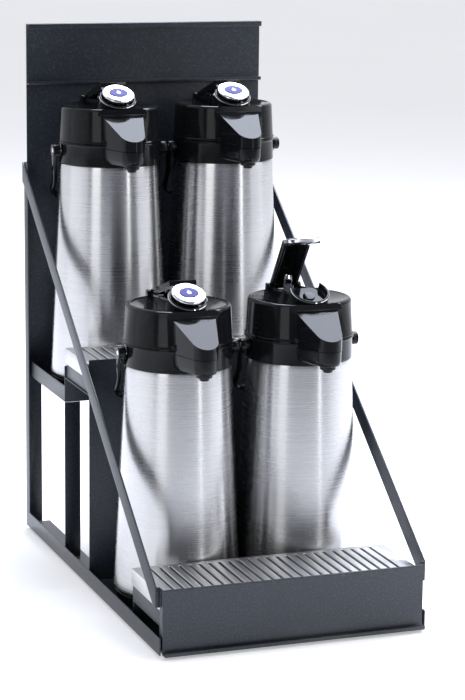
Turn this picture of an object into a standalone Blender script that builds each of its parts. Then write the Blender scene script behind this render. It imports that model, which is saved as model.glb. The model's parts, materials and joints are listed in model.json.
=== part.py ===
"""Two-tier serving rack with four lever-pump airpots and a drip tray for each tier.

Metres, +Z up. The front faces -Y. The origin is on the ground under the middle of the whole rack.
Heights in the rack are counted from the underside of the base, and depths from the face of the fascia.
Sizes in an airpot are counted from its own axis and from the surface that it stands on.
"""

import math

import bmesh
import bpy
from mathutils import Matrix, Vector

# Sheet metal rack ---------------------------------------------------------------------------------
GAP = 0.0003  # between two pieces that touch
SINK = 0.002  # how far a joined shape reaches into its neighbour
PAST = 0.001  # how far a cutter passes the face that it cuts
FAR = 1.0  # how far a cutter passes the whole piece
SHEET = 0.0018
POT_TO_SIDE = 0.0074  # from an airpot to the edge of the fascia, shelf, riser and header
RAIL_OVERHANG = 0.004  # base rails and rear uprights, outside those edges
RAIL_HEIGHT = 0.022
BACK_HEIGHT = 0.7175  # top of the header
FLOOR_DROP = 0.0021  # from a rail's lower edge up to the underside of its floor

FASCIA_HEIGHT = 0.082
FASCIA_RETURN = 0.0118
FASCIA_LIP_DROP = 0.008
FASCIA_LIP_REACH = 0.006
FASCIA_FOOT_REACH = 0.0096
FASCIA_FOOT_RISE = 0.005

TRAY_FRONT = 0.014  # from the fascia's face
TRAY_DEPTH = 0.111
TRAY_INSET = 0.0005  # inside the rack's half width
TRAY_HEIGHT = 0.040  # from the pan's underside to the grille's top
LOWER_TRAY_TOP = 0.074
UPPER_TRAY_RISE = 0.0711  # grille's top above the shelf
GRILLE_SHEET = 0.0012
GRILLE_SKIRT = 0.021
SLOT_PITCH = 0.013
SLOT_BORDER = 0.022  # from the grille's side to its first slot's middle
SLOT_WIDTH = 0.005
SLOT_MARGIN = 0.008
PAN_WALL = 0.0012

TRAY_TO_POT = 0.002
POT_TO_RISER = 0.0135
RISER_TO_TRAY = 0.0012
RISER_RISE = 0.006  # above the upper grille
TRAY_TO_FLANGE = 0.0004
FLANGE_TO_POT = 0.0005
POT_TO_BACK = 0.018

SHELF_BOTTOM = 0.222
SHELF_FLANGE_HEIGHT = 0.050
MID_LEG_WIDTH = 0.0218
REAR_LEG_WIDTH = 0.023
UPRIGHT_DEPTH = 0.016
UPRIGHT_TOP = 0.526
BASE_FLANGE = 0.035

HEADER_HEIGHT = 0.0835
HEADER_LIP_REACH = 0.0085
HEADER_LIP_DROP = 0.007
HEADER_CHANNEL_RISE = 0.005

STRAP_WIDTH = 0.0255
STRAP_THICKNESS = 0.0024
STRAP_FRONT_LOW = 0.058
STRAP_FRONT_Y = 0.0091  # from the fascia's face
STRAP_REAR_HEIGHT = 0.029

FOOT_PROJECTION = 0.0036
FOOT_RADIUS = 0.007
FOOT_INSET = 0.022

# Airpot -------------------------------------------------------------------------------------------
SEGMENTS = 24
POT_RADIUS = 0.082
POT_SIDE_GAP = 0.0006
BASE_RING_HEIGHT = 0.0152
BASE_RING_WALL = 0.004
BASE_RING_TAPER = 0.001
SHELL_WALL = 0.001
SHELL_TOP = 0.3096
COLLAR_OVERHANG = 0.0011  # outside the shell
SHELL_FOOT_ROUND = 0.005
COLLAR_RADIUS = 0.0698
COLLAR_HEIGHT = 0.0301
COLLAR_SPIGOT = 0.006
SPIGOT_CLEARANCE = 0.0009
MOUTH_RADIUS = 0.030
MOUTH_LEDGE = 0.006  # width of the ledge over the flask's neck
LINER_WALL = 0.0012
LINER_CLEARANCE = 0.005
LINER_FOOT_ROUND = 0.012
LINER_SHOULDER_DROP = 0.030  # under the shell's top
LINER_NECK_DROP = 0.010
LINER_NECK_CLEARANCE = 0.002
TUBE_RADIUS = 0.0045
TUBE_TO_FLOOR = 0.006
TUBE_BAR_HALF = 0.005
TUBE_BAR_HEIGHT = 0.005
TUBE_BAR_DROP = 0.004
TUBE_BAR_CLEARANCE = 0.0015
HEAD_STEP = 0.0008  # head, inside the collar
HEAD_HEIGHT = 0.0468
HEAD_WALL = 0.003
HEAD_SHOULDER = 0.009

BEAK_LENGTH = 0.060  # from its root to its nose
BEAK_ROOT_HALF = 0.030
BEAK_NOSE_RADIUS = 0.0175
BEAK_ROOT_INSET = 0.012  # inside the head's foot
BEAK_ROOT_DROP = 0.0085
BEAK_TIP_DROP = 0.038
BEAK_DEPTH = 0.072
BEAK_SEAM = 0.0005  # step between the beak's upper and lower halves
NOZZLE_TO_NOSE = 0.017
NOZZLE_RADIUS = 0.010
NOZZLE_LENGTH = 0.008
NOZZLE_TIP_RADIUS = 0.005
NOZZLE_TIP_LENGTH = 0.0036
SKIRT_HALF = 0.0255  # lower half of the beak at its root
SKIRT_TAPER = 0.92
BEAK_TO_COLLAR = 0.0015

LID_HINGE_BEHIND = 0.0032  # outside the collar
LID_HINGE_DROP = 0.0018  # under the collar's top
HINGE_BARREL_RADIUS = 0.004
PIN_RADIUS = 0.002
PIN_CLEARANCE = 0.0003
KNUCKLE_HALF = 0.008
LUG_WIDTH = 0.005
LUG_DEPTH = 0.010

LEVER_HINGE_INSET = 0.011  # inside the head's foot
LEVER_HINGE_RISE = 0.0045
LEVER_HALF = 0.018
LEVER_WALL = 0.0025
TONGUE_ROOT = 0.0045  # depth of the tongue at the cap's rear edge
TONGUE_REACH = 0.0132  # past the cap's middle
LEVER_CROWN = 0.002  # lever's top above the cap's rear edge
LEVER_RISE_DEG = 18.0
LEVER_RAISED_DEG = 38.0
CAP_RADIUS = 0.022
CAP_THICKNESS = 0.0045
CAP_CHAMFER = 0.002
CAP_CROWN = 0.001
CAP_REACH = 0.040
CAP_RISE = 0.020
CAP_TILT_DEG = 27.0
CUP_RADIUS = 0.0245
CUP_WALL = 0.002
CUP_TO_CAP = 0.0065
CUP_DEPTH = 0.030  # cup's foot, under the cap's face
WELL_DEPTH = 0.013

ROD_TO_HINGE = 0.015
ROD_RADIUS = 0.004
ROD_CLEARANCE = 0.001
PISTON_RADIUS = 0.016
PISTON_THICKNESS = 0.005
PISTON_RISE = 0.004  # disc above the head's foot
ROD_TO_LEVER = 0.0045
PLUNGER_TRAVEL = 0.0126

BAIL_DROP = 0.0595  # pivot, under the head's rim
BAIL_PIVOT_OUT = 0.0067  # bar's middle, outside the collar
BAIL_LENGTH = 0.110
BAIL_BOW_HALF = 0.063
BAIL_CORNER = 0.024
BAIL_BAR_RADIUS = 0.0045
BAIL_EYE_CAP = 0.0006
BAIL_EYE_RADIUS = 0.0085
BAIL_EYE_CLEARANCE = 0.0014
BAIL_STUD_RADIUS = 0.0035
BAIL_HANG_DEG = 43.0

# Places that follow from the sizes ----------------------------------------------------------------
SHELL_TOP_RADIUS = COLLAR_RADIUS - COLLAR_OVERHANG
HEAD_RADIUS = COLLAR_RADIUS - HEAD_STEP
BEAK_ROOT = HEAD_RADIUS - BEAK_ROOT_INSET
BEAK_REACH = BEAK_ROOT + BEAK_LENGTH
NOZZLE_REACH = BEAK_REACH - NOZZLE_TO_NOSE
LEVER_HINGE_Y = HEAD_RADIUS - LEVER_HINGE_INSET
ROD_Y = LEVER_HINGE_Y - ROD_TO_HINGE
BAIL_PIVOT_X = COLLAR_RADIUS + BAIL_PIVOT_OUT
BAIL_OUTER = BAIL_PIVOT_X + BAIL_BAR_RADIUS + BAIL_EYE_CAP
POT_X = max(POT_RADIUS, BAIL_OUTER) + POT_SIDE_GAP
RACK_HALF = POT_X + POT_RADIUS + POT_TO_SIDE
RAIL_HALF = RACK_HALF + RAIL_OVERHANG
TRAY_HALF = RACK_HALF - TRAY_INSET
SLOT_COUNT = int((TRAY_HALF - SLOT_BORDER) * 2 / SLOT_PITCH + 1.001)
TRAY_REAR = TRAY_FRONT + TRAY_DEPTH
FRONT_POT_Y = TRAY_REAR + TRAY_TO_POT + POT_RADIUS
RISER_Y = FRONT_POT_Y + POT_RADIUS + POT_TO_RISER
UPPER_TRAY_FRONT = RISER_Y + SHEET + RISER_TO_TRAY
FLANGE_Y = UPPER_TRAY_FRONT + TRAY_DEPTH + TRAY_TO_FLANGE
REAR_POT_Y = FLANGE_Y + SHEET + FLANGE_TO_POT + POT_RADIUS
BACK_Y = REAR_POT_Y + POT_RADIUS + POT_TO_BACK
BACK_REAR = BACK_Y + SHEET
MIDDLE_Y = (BACK_REAR - FASCIA_FOOT_REACH) / 2
FLOOR_TOP = FLOOR_DROP + SHEET
SHELF_TOP = SHELF_BOTTOM + FLOOR_TOP
SHELF_FLANGE_TOP = SHELF_BOTTOM + SHELF_FLANGE_HEIGHT
UPPER_TRAY_TOP = SHELF_TOP + UPPER_TRAY_RISE
RISER_HEIGHT = UPPER_TRAY_TOP + RISER_RISE
HEADER_BOTTOM = BACK_HEIGHT - HEADER_HEIGHT
SHELL_BOTTOM = BASE_RING_HEIGHT + GAP
COLLAR_BOTTOM = SHELL_TOP + GAP
COLLAR_TOP = COLLAR_BOTTOM + COLLAR_HEIGHT
HEAD_BOTTOM = COLLAR_TOP + GAP
RIM = HEAD_BOTTOM + HEAD_HEIGHT
LID_HINGE = Vector((0, COLLAR_RADIUS + LID_HINGE_BEHIND, COLLAR_TOP - LID_HINGE_DROP))
LEVER_HINGE = Vector((0, LEVER_HINGE_Y, RIM + LEVER_HINGE_RISE))
BAIL_PIVOT = Vector((0, 0, RIM - BAIL_DROP))
LEVER_RISE = math.radians(LEVER_RISE_DEG)
LEVER_RAISED = math.radians(LEVER_RAISED_DEG)
CAP_TILT = math.radians(CAP_TILT_DEG)
CAP_CENTRE = Vector((0, -CAP_REACH, RIM + CAP_RISE))


# Modelling helpers --------------------------------------------------------------------------------
def clear_scene():
    for existing in list(bpy.data.objects):
        bpy.data.objects.remove(existing, do_unlink=True)


def finish(name, colour, roughness, metallic=0.0):
    """A material with one plain Principled BSDF."""
    made = bpy.data.materials.new(name)
    made.use_nodes = True
    shader = made.node_tree.nodes["Principled BSDF"]
    shader.inputs["Base Color"].default_value = (*colour, 1)
    shader.inputs["Roughness"].default_value = roughness
    shader.inputs["Metallic"].default_value = metallic
    return made


def object_from(name, bm):
    """Closes a bmesh into a linked object with its faces pointing out."""
    bmesh.ops.recalc_face_normals(bm, faces=bm.faces)
    mesh = bpy.data.meshes.new(name)
    bm.to_mesh(mesh)
    bm.free()
    made = bpy.data.objects.new(name, mesh)
    bpy.context.scene.collection.objects.link(made)
    return made


def prism(name, outline, axis, low, high):
    """Extrudes a flat outline along an axis. Its points are the other two coordinates, in X, Y, Z order."""
    bm = bmesh.new()
    index = "XYZ".index(axis)
    corners = []
    for point in outline:
        place = list(point)
        place.insert(index, low)
        corners.append(bm.verts.new(place))
    face = bm.faces.new(corners)
    swept = bmesh.ops.extrude_face_region(bm, geom=[face])["geom"]
    shift = Vector((0, 0, 0))
    shift[index] = high - low
    moved = [item for item in swept if isinstance(item, bmesh.types.BMVert)]
    bmesh.ops.translate(bm, vec=shift, verts=moved)
    return object_from(name, bm)


def rectangle(left, right, bottom, top):
    return [(left, bottom), (right, bottom), (right, top), (left, top)]


def box(name, low, high):
    return prism(name, rectangle(low[0], high[0], low[1], high[1]), "Z", low[2], high[2])


def turned(name, profile, ring=False, segments=SEGMENTS):
    """Turns (radius, height) points about Z: from axis to axis, or a ring whose outline closes on itself."""
    bm = bmesh.new()
    verts = [bm.verts.new((radius, 0, height)) for radius, height in profile]
    pairs = list(zip(verts, verts[1:] + ([verts[0]] if ring else [])))
    edges = [bm.edges.new(pair) for pair in pairs]
    bmesh.ops.spin(
        bm, geom=verts + edges, cent=(0, 0, 0), axis=(0, 0, 1), angle=math.tau, steps=segments, use_merge=True
    )
    bmesh.ops.remove_doubles(bm, verts=bm.verts, dist=1e-6)
    return object_from(name, bm)


def solid_drum(name, radius, low, high):
    """A round solid about Z between two heights."""
    return turned(name, [(0, low), (radius, low), (radius, high), (0, high)])


def rod(name, start, end, radius, segments=8):
    """A cylinder between two points."""
    start, end = Vector(start), Vector(end)
    length = (end - start).length
    made = turned(name, [(0, 0), (radius, 0), (radius, length), (0, length)], segments=segments)
    turn = Vector((0, 0, 1)).rotation_difference(end - start).to_matrix().to_4x4()
    made.data.transform(Matrix.Translation(start) @ turn)
    return made


def cross_rod(name, middle, half, radius, segments=8):
    """A cylinder along X, with its middle at a point."""
    reach = Vector((half, 0, 0))
    return rod(name, middle - reach, middle + reach, radius, segments)


def hull(name, points):
    bm = bmesh.new()
    verts = [bm.verts.new(point) for point in points]
    bmesh.ops.convex_hull(bm, input=verts)
    bmesh.ops.delete(bm, geom=[vert for vert in bm.verts if not vert.link_faces], context="VERTS")
    return object_from(name, bm)


def arc(centre, radius, first, last, steps):
    """Points of an arc in a plane, from one angle to another in degrees, ends included."""
    angles = [math.radians(first + (last - first) * step / steps) for step in range(steps + 1)]
    return [(centre[0] + radius * math.cos(angle), centre[1] + radius * math.sin(angle)) for angle in angles]


def combined(name, first, adds=(), cuts=()):
    """Joins solids to the first one, cuts others from it, and keeps only the result."""
    for operation, others in (("UNION", adds), ("DIFFERENCE", cuts)):
        for other in others:
            step = first.modifiers.new(other.name, "BOOLEAN")
            step.operation = operation
            step.object = other
    bpy.context.view_layer.update()
    graph = bpy.context.evaluated_depsgraph_get()
    mesh = bpy.data.meshes.new_from_object(first.evaluated_get(graph))
    mesh.name = name
    for used in (first, *adds, *cuts):
        bpy.data.objects.remove(used, do_unlink=True)
    made = bpy.data.objects.new(name, mesh)
    bpy.context.scene.collection.objects.link(made)
    return made


def empty(name, location, parent=None):
    made = bpy.data.objects.new(name, None)
    made.location = location
    made.parent = parent
    bpy.context.scene.collection.objects.link(made)
    return made


def smooth(mesh, degrees=35):
    mesh.shade_smooth()
    mesh.set_sharp_from_angle(angle=math.radians(degrees))


def dress(made, surface, parent=None, rounded=False):
    """Gives a piece its material and its parent."""
    made.data.materials.clear()
    made.data.materials.append(surface)
    if rounded:
        smooth(made.data)
    made.parent = parent
    return made


# Rack ---------------------------------------------------------------------------------------------
def base_pan():
    """Floor under the front tier, with two arms that run back to the panel, between the two side rails."""
    inner = RAIL_HALF - SHEET
    outline = [
        (-RAIL_HALF, 0), (-inner, 0), (-inner, FLOOR_DROP), (inner, FLOOR_DROP), (inner, 0), (RAIL_HALF, 0),
        (RAIL_HALF, RAIL_HEIGHT), (inner, RAIL_HEIGHT), (inner, FLOOR_TOP), (-inner, FLOOR_TOP),
        (-inner, RAIL_HEIGHT), (-RAIL_HALF, RAIL_HEIGHT),
    ]
    pan = prism("base_pan_sheet", outline, "Y", 0, BACK_REAR)
    bay = RAIL_HALF - BASE_FLANGE
    rear_bay = box("base_bay", (-bay, RISER_Y + 2 * BASE_FLANGE, -FAR), (bay, BACK_REAR + FAR, FAR))
    front_relief = box("base_front_relief", (-inner, -FAR, -FAR), (inner, FASCIA_RETURN + GAP, FAR))
    return combined("base_pan", pan, cuts=(rear_bay, front_relief))


def back_panel():
    """Back sheet with a window under the shelf, and side returns that face forward up to the straps."""
    inner = RAIL_HALF - SHEET
    front = BACK_Y - UPRIGHT_DEPTH
    foot = FLOOR_TOP + GAP
    outline = [
        (-RAIL_HALF, front), (-inner, front), (-inner, BACK_Y), (inner, BACK_Y), (inner, front),
        (RAIL_HALF, front), (RAIL_HALF, BACK_REAR), (-RAIL_HALF, BACK_REAR),
    ]
    lower = prism("back_lower", outline, "Z", RAIL_HEIGHT + GAP, UPRIGHT_TOP)
    legs = box("back_legs", (-inner + GAP, BACK_Y, foot), (inner - GAP, BACK_REAR, RAIL_HEIGHT + 2 * SHEET))
    upper = box("back_upper", (-RACK_HALF, BACK_Y, UPRIGHT_TOP - SHEET), (RACK_HALF, BACK_REAR, BACK_HEIGHT))
    opening = RAIL_HALF - REAR_LEG_WIDTH
    window = box("back_window", (-opening, BACK_Y - FAR, -FAR), (opening, BACK_REAR + FAR, SHELF_BOTTOM))
    return combined("back_panel", lower, adds=(legs, upper), cuts=(window,))


def header_sign_holder():
    """Plain header sheet, with a turned-up channel along its foot and a turned-down lip along its top."""
    rear = BACK_Y - GAP
    front = rear - SHEET
    channel = front - HEADER_LIP_REACH
    top = BACK_HEIGHT
    outline = [
        (rear, HEADER_BOTTOM), (rear, top), (channel, top), (channel, top - HEADER_LIP_DROP),
        (channel + SHEET, top - HEADER_LIP_DROP), (channel + SHEET, top - SHEET), (front, top - SHEET),
        (front, HEADER_BOTTOM + SHEET), (channel + SHEET, HEADER_BOTTOM + SHEET),
        (channel + SHEET, HEADER_BOTTOM + HEADER_CHANNEL_RISE),
        (channel, HEADER_BOTTOM + HEADER_CHANNEL_RISE),
        (channel, HEADER_BOTTOM),
    ]
    return prism("header_sign_holder", outline, "X", -RACK_HALF, RACK_HALF)


def upper_shelf():
    """Shelf for the rear tier with side flanges, and a full front flange that carries the upper ledge."""
    inner = RACK_HALF - SHEET
    low = SHELF_BOTTOM
    front = FLANGE_Y
    rear = BACK_Y - GAP
    outline = [
        (-RACK_HALF, low), (-inner, low), (-inner, low + FLOOR_DROP), (inner, low + FLOOR_DROP), (inner, low),
        (RACK_HALF, low), (RACK_HALF, low + RAIL_HEIGHT), (inner, low + RAIL_HEIGHT),
        (inner, low + FLOOR_TOP),
        (-inner, low + FLOOR_TOP), (-inner, low + RAIL_HEIGHT), (-RACK_HALF, low + RAIL_HEIGHT),
    ]
    floor = prism("shelf_floor", outline, "Y", front, rear)
    flange = box("shelf_flange", (-RACK_HALF, front, low), (RACK_HALF, front + SHEET, SHELF_FLANGE_TOP))
    ledge_top = UPPER_TRAY_TOP - TRAY_HEIGHT - GAP
    ledge_front = RISER_Y + SHEET + GAP
    ledge_low = (-RACK_HALF, ledge_front, ledge_top - SHEET)
    ledge = box("shelf_ledge", ledge_low, (RACK_HALF, front + SHEET, ledge_top))
    return combined("upper_shelf", floor, adds=(flange, ledge))


def mid_leg(side):
    """Flat leg under the shelf's front flange, with a foot turned back to lie on the base."""
    low = FLOOR_TOP + GAP
    high = SHELF_BOTTOM - GAP
    outline = [
        (FLANGE_Y, low), (FLANGE_Y + BASE_FLANGE / 2, low), (FLANGE_Y + BASE_FLANGE / 2, low + SHEET),
        (FLANGE_Y + SHEET, low + SHEET), (FLANGE_Y + SHEET, high), (FLANGE_Y, high),
    ]
    edges = sorted((side * RACK_HALF, side * (RACK_HALF - MID_LEG_WIDTH)))
    return prism("mid_leg", outline, "X", *edges)


def riser_panel():
    """Upright sheet behind the front tier, with a foot turned back to lie on the base."""
    low = FLOOR_TOP + GAP
    outline = [
        (RISER_Y, low), (RISER_Y + BASE_FLANGE / 2, low), (RISER_Y + BASE_FLANGE / 2, low + SHEET),
        (RISER_Y + SHEET, low + SHEET), (RISER_Y + SHEET, RISER_HEIGHT), (RISER_Y, RISER_HEIGHT),
    ]
    return prism("riser_panel", outline, "X", -RACK_HALF, RACK_HALF)


def drip_pan(name, front, top):
    """Open pan with a floor and four walls, which sits inside the grille's skirt."""
    half = TRAY_HALF - GRILLE_SHEET - GAP
    low = (-half, front + GRILLE_SHEET + GAP, top - TRAY_HEIGHT)
    high = (half, front + TRAY_DEPTH - GRILLE_SHEET - GAP, top - GRILLE_SHEET - GAP)
    outer = box(name + "_block", low, high)
    well_low = [low[axis] + PAN_WALL for axis in range(3)]
    well_high = (high[0] - PAN_WALL, high[1] - PAN_WALL, high[2] + FAR)
    return combined(name, outer, cuts=(box(name + "_well", well_low, well_high),))


def drip_grille(name, front, top):
    """Slotted lid of a pan, with a skirt on all four sides."""
    rear = front + TRAY_DEPTH
    plate = box(name + "_block", (-TRAY_HALF, front, top - GRILLE_SKIRT), (TRAY_HALF, rear, top))
    inner_half = TRAY_HALF - GRILLE_SHEET
    cuts = [
        box(
            name + "_hollow",
            (-inner_half, front + GRILLE_SHEET, top - GRILLE_SKIRT - FAR),
            (inner_half, rear - GRILLE_SHEET, top - GRILLE_SHEET),
        )
    ]
    for index in range(SLOT_COUNT):
        centre = (index - (SLOT_COUNT - 1) / 2) * SLOT_PITCH
        low = (centre - SLOT_WIDTH / 2, front + SLOT_MARGIN, top - GRILLE_SHEET - PAST)
        high = (centre + SLOT_WIDTH / 2, rear - SLOT_MARGIN, top + PAST)
        cuts.append(box(f"{name}_slot_{index}", low, high))
    return combined(name, plate, cuts=cuts)


def front_fascia():
    """Front sheet with a slanted lip on top, a turned-up channel along its foot, and two side returns."""
    lip = FASCIA_HEIGHT - FASCIA_LIP_DROP
    outline = [
        (0, FASCIA_FOOT_RISE), (0, lip), (-FASCIA_LIP_REACH, FASCIA_HEIGHT - SHEET),
        (-FASCIA_LIP_REACH, FASCIA_HEIGHT), (SHEET, FASCIA_HEIGHT), (SHEET, 0), (-FASCIA_FOOT_REACH, 0),
        (-FASCIA_FOOT_REACH, FASCIA_FOOT_RISE), (SHEET - FASCIA_FOOT_REACH, FASCIA_FOOT_RISE),
        (SHEET - FASCIA_FOOT_REACH, SHEET), (0, SHEET),
    ]
    face = prism("fascia_face", outline, "X", -RACK_HALF, RACK_HALF)
    returns = [
        box(
            f"fascia_return_{side}",
            (min(side * RACK_HALF, side * (RACK_HALF - SHEET)), 0, SHEET),
            (max(side * RACK_HALF, side * (RACK_HALF - SHEET)), FASCIA_RETURN, FASCIA_HEIGHT),
        )
        for side in (-1, 1)
    ]
    return combined("front_fascia", face, adds=returns)


def lower_tray_stand():
    """Folded bridge that holds the lower pan off the base."""
    low = FLOOR_TOP + GAP
    high = LOWER_TRAY_TOP - TRAY_HEIGHT - GAP
    front = TRAY_FRONT + GRILLE_SHEET + PAN_WALL
    rear = TRAY_REAR - GRILLE_SHEET - PAN_WALL
    outline = [
        (front, low), (front + SHEET, low), (front + SHEET, high - SHEET), (rear - SHEET, high - SHEET),
        (rear - SHEET, low), (rear, low), (rear, high), (front, high),
    ]
    return prism("lower_tray_stand", outline, "X", -RACK_HALF + SHEET, RACK_HALF - SHEET)


def side_strap(side):
    """Flat diagonal bar with upright ends. Its front end turns inwards to the fascia's return."""
    inner = RAIL_HALF + GAP
    outer = inner + STRAP_THICKNESS
    front_top = STRAP_FRONT_LOW + STRAP_WIDTH
    rear_top = UPRIGHT_TOP
    rear_low = UPRIGHT_TOP - STRAP_REAR_HEIGHT
    run = (BACK_REAR - STRAP_FRONT_Y, rear_top - front_top)
    stretch = math.hypot(*run) / run[0]
    drop = STRAP_WIDTH * stretch
    rear_step = BACK_REAR - (drop - (rear_top - rear_low)) * run[0] / run[1]
    outline = [
        (STRAP_FRONT_Y, STRAP_FRONT_LOW), (STRAP_FRONT_Y, front_top), (BACK_REAR, rear_top),
        (BACK_REAR, rear_low), (rear_step, rear_low),
        (STRAP_FRONT_Y + (drop - STRAP_WIDTH) * run[0] / run[1], STRAP_FRONT_LOW),
    ]
    bar = prism("strap_bar", outline, "X", *sorted((side * inner, side * outer)))
    low_x, high_x = sorted((side * outer, side * (RACK_HALF + GAP)))
    tongue = box(
        "strap_tongue",
        (low_x, STRAP_FRONT_Y, STRAP_FRONT_LOW),
        (high_x, STRAP_FRONT_Y + STRAP_THICKNESS, front_top),
    )
    return combined("side_strap", bar, adds=(tongue,))


def foot(place):
    """Low rubber button, tapered towards the ground."""
    profile = [
        (0, -FOOT_PROJECTION), (FOOT_RADIUS * 0.75, -FOOT_PROJECTION), (FOOT_RADIUS, -FOOT_PROJECTION * 0.4),
        (FOOT_RADIUS, FLOOR_DROP - GAP), (0, FLOOR_DROP - GAP),
    ]
    made = turned("foot", profile, segments=16)
    made.location = place
    return made


def build_rack(origin, coat, steel, rubber):
    """Every piece of the rack, named and dressed."""
    painted = {
        "base_pan": base_pan(),
        "back_panel": back_panel(),
        "header_sign_holder": header_sign_holder(),
        "upper_shelf": upper_shelf(),
        "mid_leg_left": mid_leg(-1),
        "mid_leg_right": mid_leg(1),
        "riser_panel": riser_panel(),
        "front_fascia": front_fascia(),
        "lower_tray_stand": lower_tray_stand(),
        "side_strap_left": side_strap(-1),
        "side_strap_right": side_strap(1),
        "upper_drip_pan": drip_pan("upper_drip_pan", UPPER_TRAY_FRONT, UPPER_TRAY_TOP),
        "lower_drip_pan": drip_pan("lower_drip_pan", TRAY_FRONT, LOWER_TRAY_TOP),
    }
    for name, made in painted.items():
        made.name = name
        dress(made, coat, origin)
    dress(drip_grille("upper_drip_grille", UPPER_TRAY_FRONT, UPPER_TRAY_TOP), steel, origin)
    dress(drip_grille("lower_drip_grille", TRAY_FRONT, LOWER_TRAY_TOP), steel, origin)
    side = RAIL_HALF - FOOT_INSET
    for end, depth in (("front", STRAP_FRONT_Y + FOOT_INSET), ("rear", BACK_REAR - FOOT_INSET)):
        for hand, across in (("left", -side), ("right", side)):
            made = foot((across, depth, 0))
            made.name = f"foot_{end}_{hand}"
            dress(made, rubber, origin, rounded=True)


# Airpot pieces, about the pot's own axis ----------------------------------------------------------
def shell_radius(height):
    """Outer radius of the tapered steel shell at a height."""
    return POT_RADIUS + (SHELL_TOP_RADIUS - POT_RADIUS) * (height - SHELL_BOTTOM) / (SHELL_TOP - SHELL_BOTTOM)


def body_shell():
    """Tapered steel tube with a rounded foot, open at both ends."""
    foot_round = SHELL_FOOT_ROUND
    outer = [
        (POT_RADIUS - foot_round, SHELL_BOTTOM),
        (POT_RADIUS - foot_round * 0.3, SHELL_BOTTOM + foot_round * 0.3),
        (shell_radius(SHELL_BOTTOM + foot_round), SHELL_BOTTOM + foot_round), (SHELL_TOP_RADIUS, SHELL_TOP),
    ]
    inner = [
        (SHELL_TOP_RADIUS - SHELL_WALL, SHELL_TOP),
        (shell_radius(SHELL_BOTTOM + foot_round) - SHELL_WALL, SHELL_BOTTOM + foot_round),
        (POT_RADIUS - foot_round - SHELL_WALL, SHELL_BOTTOM + SHELL_WALL),
        (POT_RADIUS - foot_round - SHELL_WALL, SHELL_BOTTOM),
    ]
    return turned("body_shell", outer + inner, ring=True)


def base_ring():
    """Black foot cup that the shell stands in."""
    spigot = POT_RADIUS - SHELL_FOOT_ROUND - SHELL_WALL - GAP
    profile = [
        (0, 0), (POT_RADIUS - BASE_RING_TAPER, 0), (POT_RADIUS, BASE_RING_HEIGHT / 2),
        (POT_RADIUS, BASE_RING_HEIGHT),
        (spigot, BASE_RING_HEIGHT), (spigot, BASE_RING_HEIGHT + BASE_RING_WALL),
        (spigot - BASE_RING_WALL, BASE_RING_HEIGHT + BASE_RING_WALL),
        (spigot - BASE_RING_WALL, BASE_RING_HEIGHT), (0, BASE_RING_HEIGHT),
    ]
    return turned("base_ring", profile)


def vacuum_liner():
    """Inner flask with a closed floor and a narrow neck that hangs in the collar."""
    outer_radius = SHELL_TOP_RADIUS - SHELL_WALL - LINER_CLEARANCE
    inner_radius = outer_radius - LINER_WALL
    floor = BASE_RING_HEIGHT + BASE_RING_WALL
    shoulder = SHELL_TOP - LINER_SHOULDER_DROP
    neck_foot = SHELL_TOP - LINER_NECK_DROP
    neck = MOUTH_RADIUS + MOUTH_LEDGE - LINER_NECK_CLEARANCE
    top = COLLAR_BOTTOM - GAP
    profile = [
        (0, floor), (outer_radius - LINER_FOOT_ROUND, floor), (outer_radius, floor + LINER_FOOT_ROUND),
        (outer_radius, shoulder), (neck, neck_foot), (neck, top), (neck - LINER_WALL, top),
        (neck - LINER_WALL, neck_foot - LINER_WALL), (inner_radius, shoulder - LINER_WALL),
        (inner_radius, floor + LINER_FOOT_ROUND + LINER_WALL / 2),
        (outer_radius - LINER_FOOT_ROUND, floor + LINER_WALL), (0, floor + LINER_WALL),
    ]
    return turned("vacuum_liner", profile, segments=16)


def collar():
    """Collar on the shell's top, with a spigot in the shell, hinge lugs behind and a stud on each side."""
    spigot = SHELL_TOP_RADIUS - SHELL_WALL - SPIGOT_CLEARANCE
    ledge = MOUTH_RADIUS + MOUTH_LEDGE
    profile = [
        (spigot, COLLAR_BOTTOM - COLLAR_SPIGOT), (spigot, COLLAR_BOTTOM), (COLLAR_RADIUS, COLLAR_BOTTOM),
        (COLLAR_RADIUS, COLLAR_TOP), (MOUTH_RADIUS, COLLAR_TOP), (MOUTH_RADIUS, COLLAR_BOTTOM),
        (ledge, COLLAR_BOTTOM), (spigot - BASE_RING_WALL, COLLAR_BOTTOM),
        (spigot - BASE_RING_WALL, COLLAR_BOTTOM - COLLAR_SPIGOT),
    ]
    ring = turned("collar_ring", profile, ring=True)
    adds = []
    start = KNUCKLE_HALF + GAP
    end = start + LUG_WIDTH
    root = math.sqrt(COLLAR_RADIUS**2 - end**2) - SINK
    for side in (-1, 1):
        low_x, high_x = sorted((side * start, side * end))
        barrel = arc((LID_HINGE.y, LID_HINGE.z), HINGE_BARREL_RADIUS, 90, -90, 6)
        outline = [(root, LID_HINGE.z - LUG_DEPTH), (root, COLLAR_TOP - GAP)]
        outline += [(LID_HINGE.y, COLLAR_TOP - GAP)] + barrel[2:]
        adds.append(prism(f"collar_lug_{side}", outline, "X", low_x, high_x))
        stud_start = (side * (COLLAR_RADIUS - SINK), 0, BAIL_PIVOT.z)
        stud_end = (side * BAIL_OUTER, 0, BAIL_PIVOT.z)
        adds.append(rod(f"bail_stud_{side}", stud_start, stud_end, BAIL_STUD_RADIUS))
    bore = cross_rod("lid_pin_bore", LID_HINGE, end + PAST, PIN_RADIUS + PIN_CLEARANCE)
    return combined("collar", ring, adds=adds, cuts=(bore,))


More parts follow.
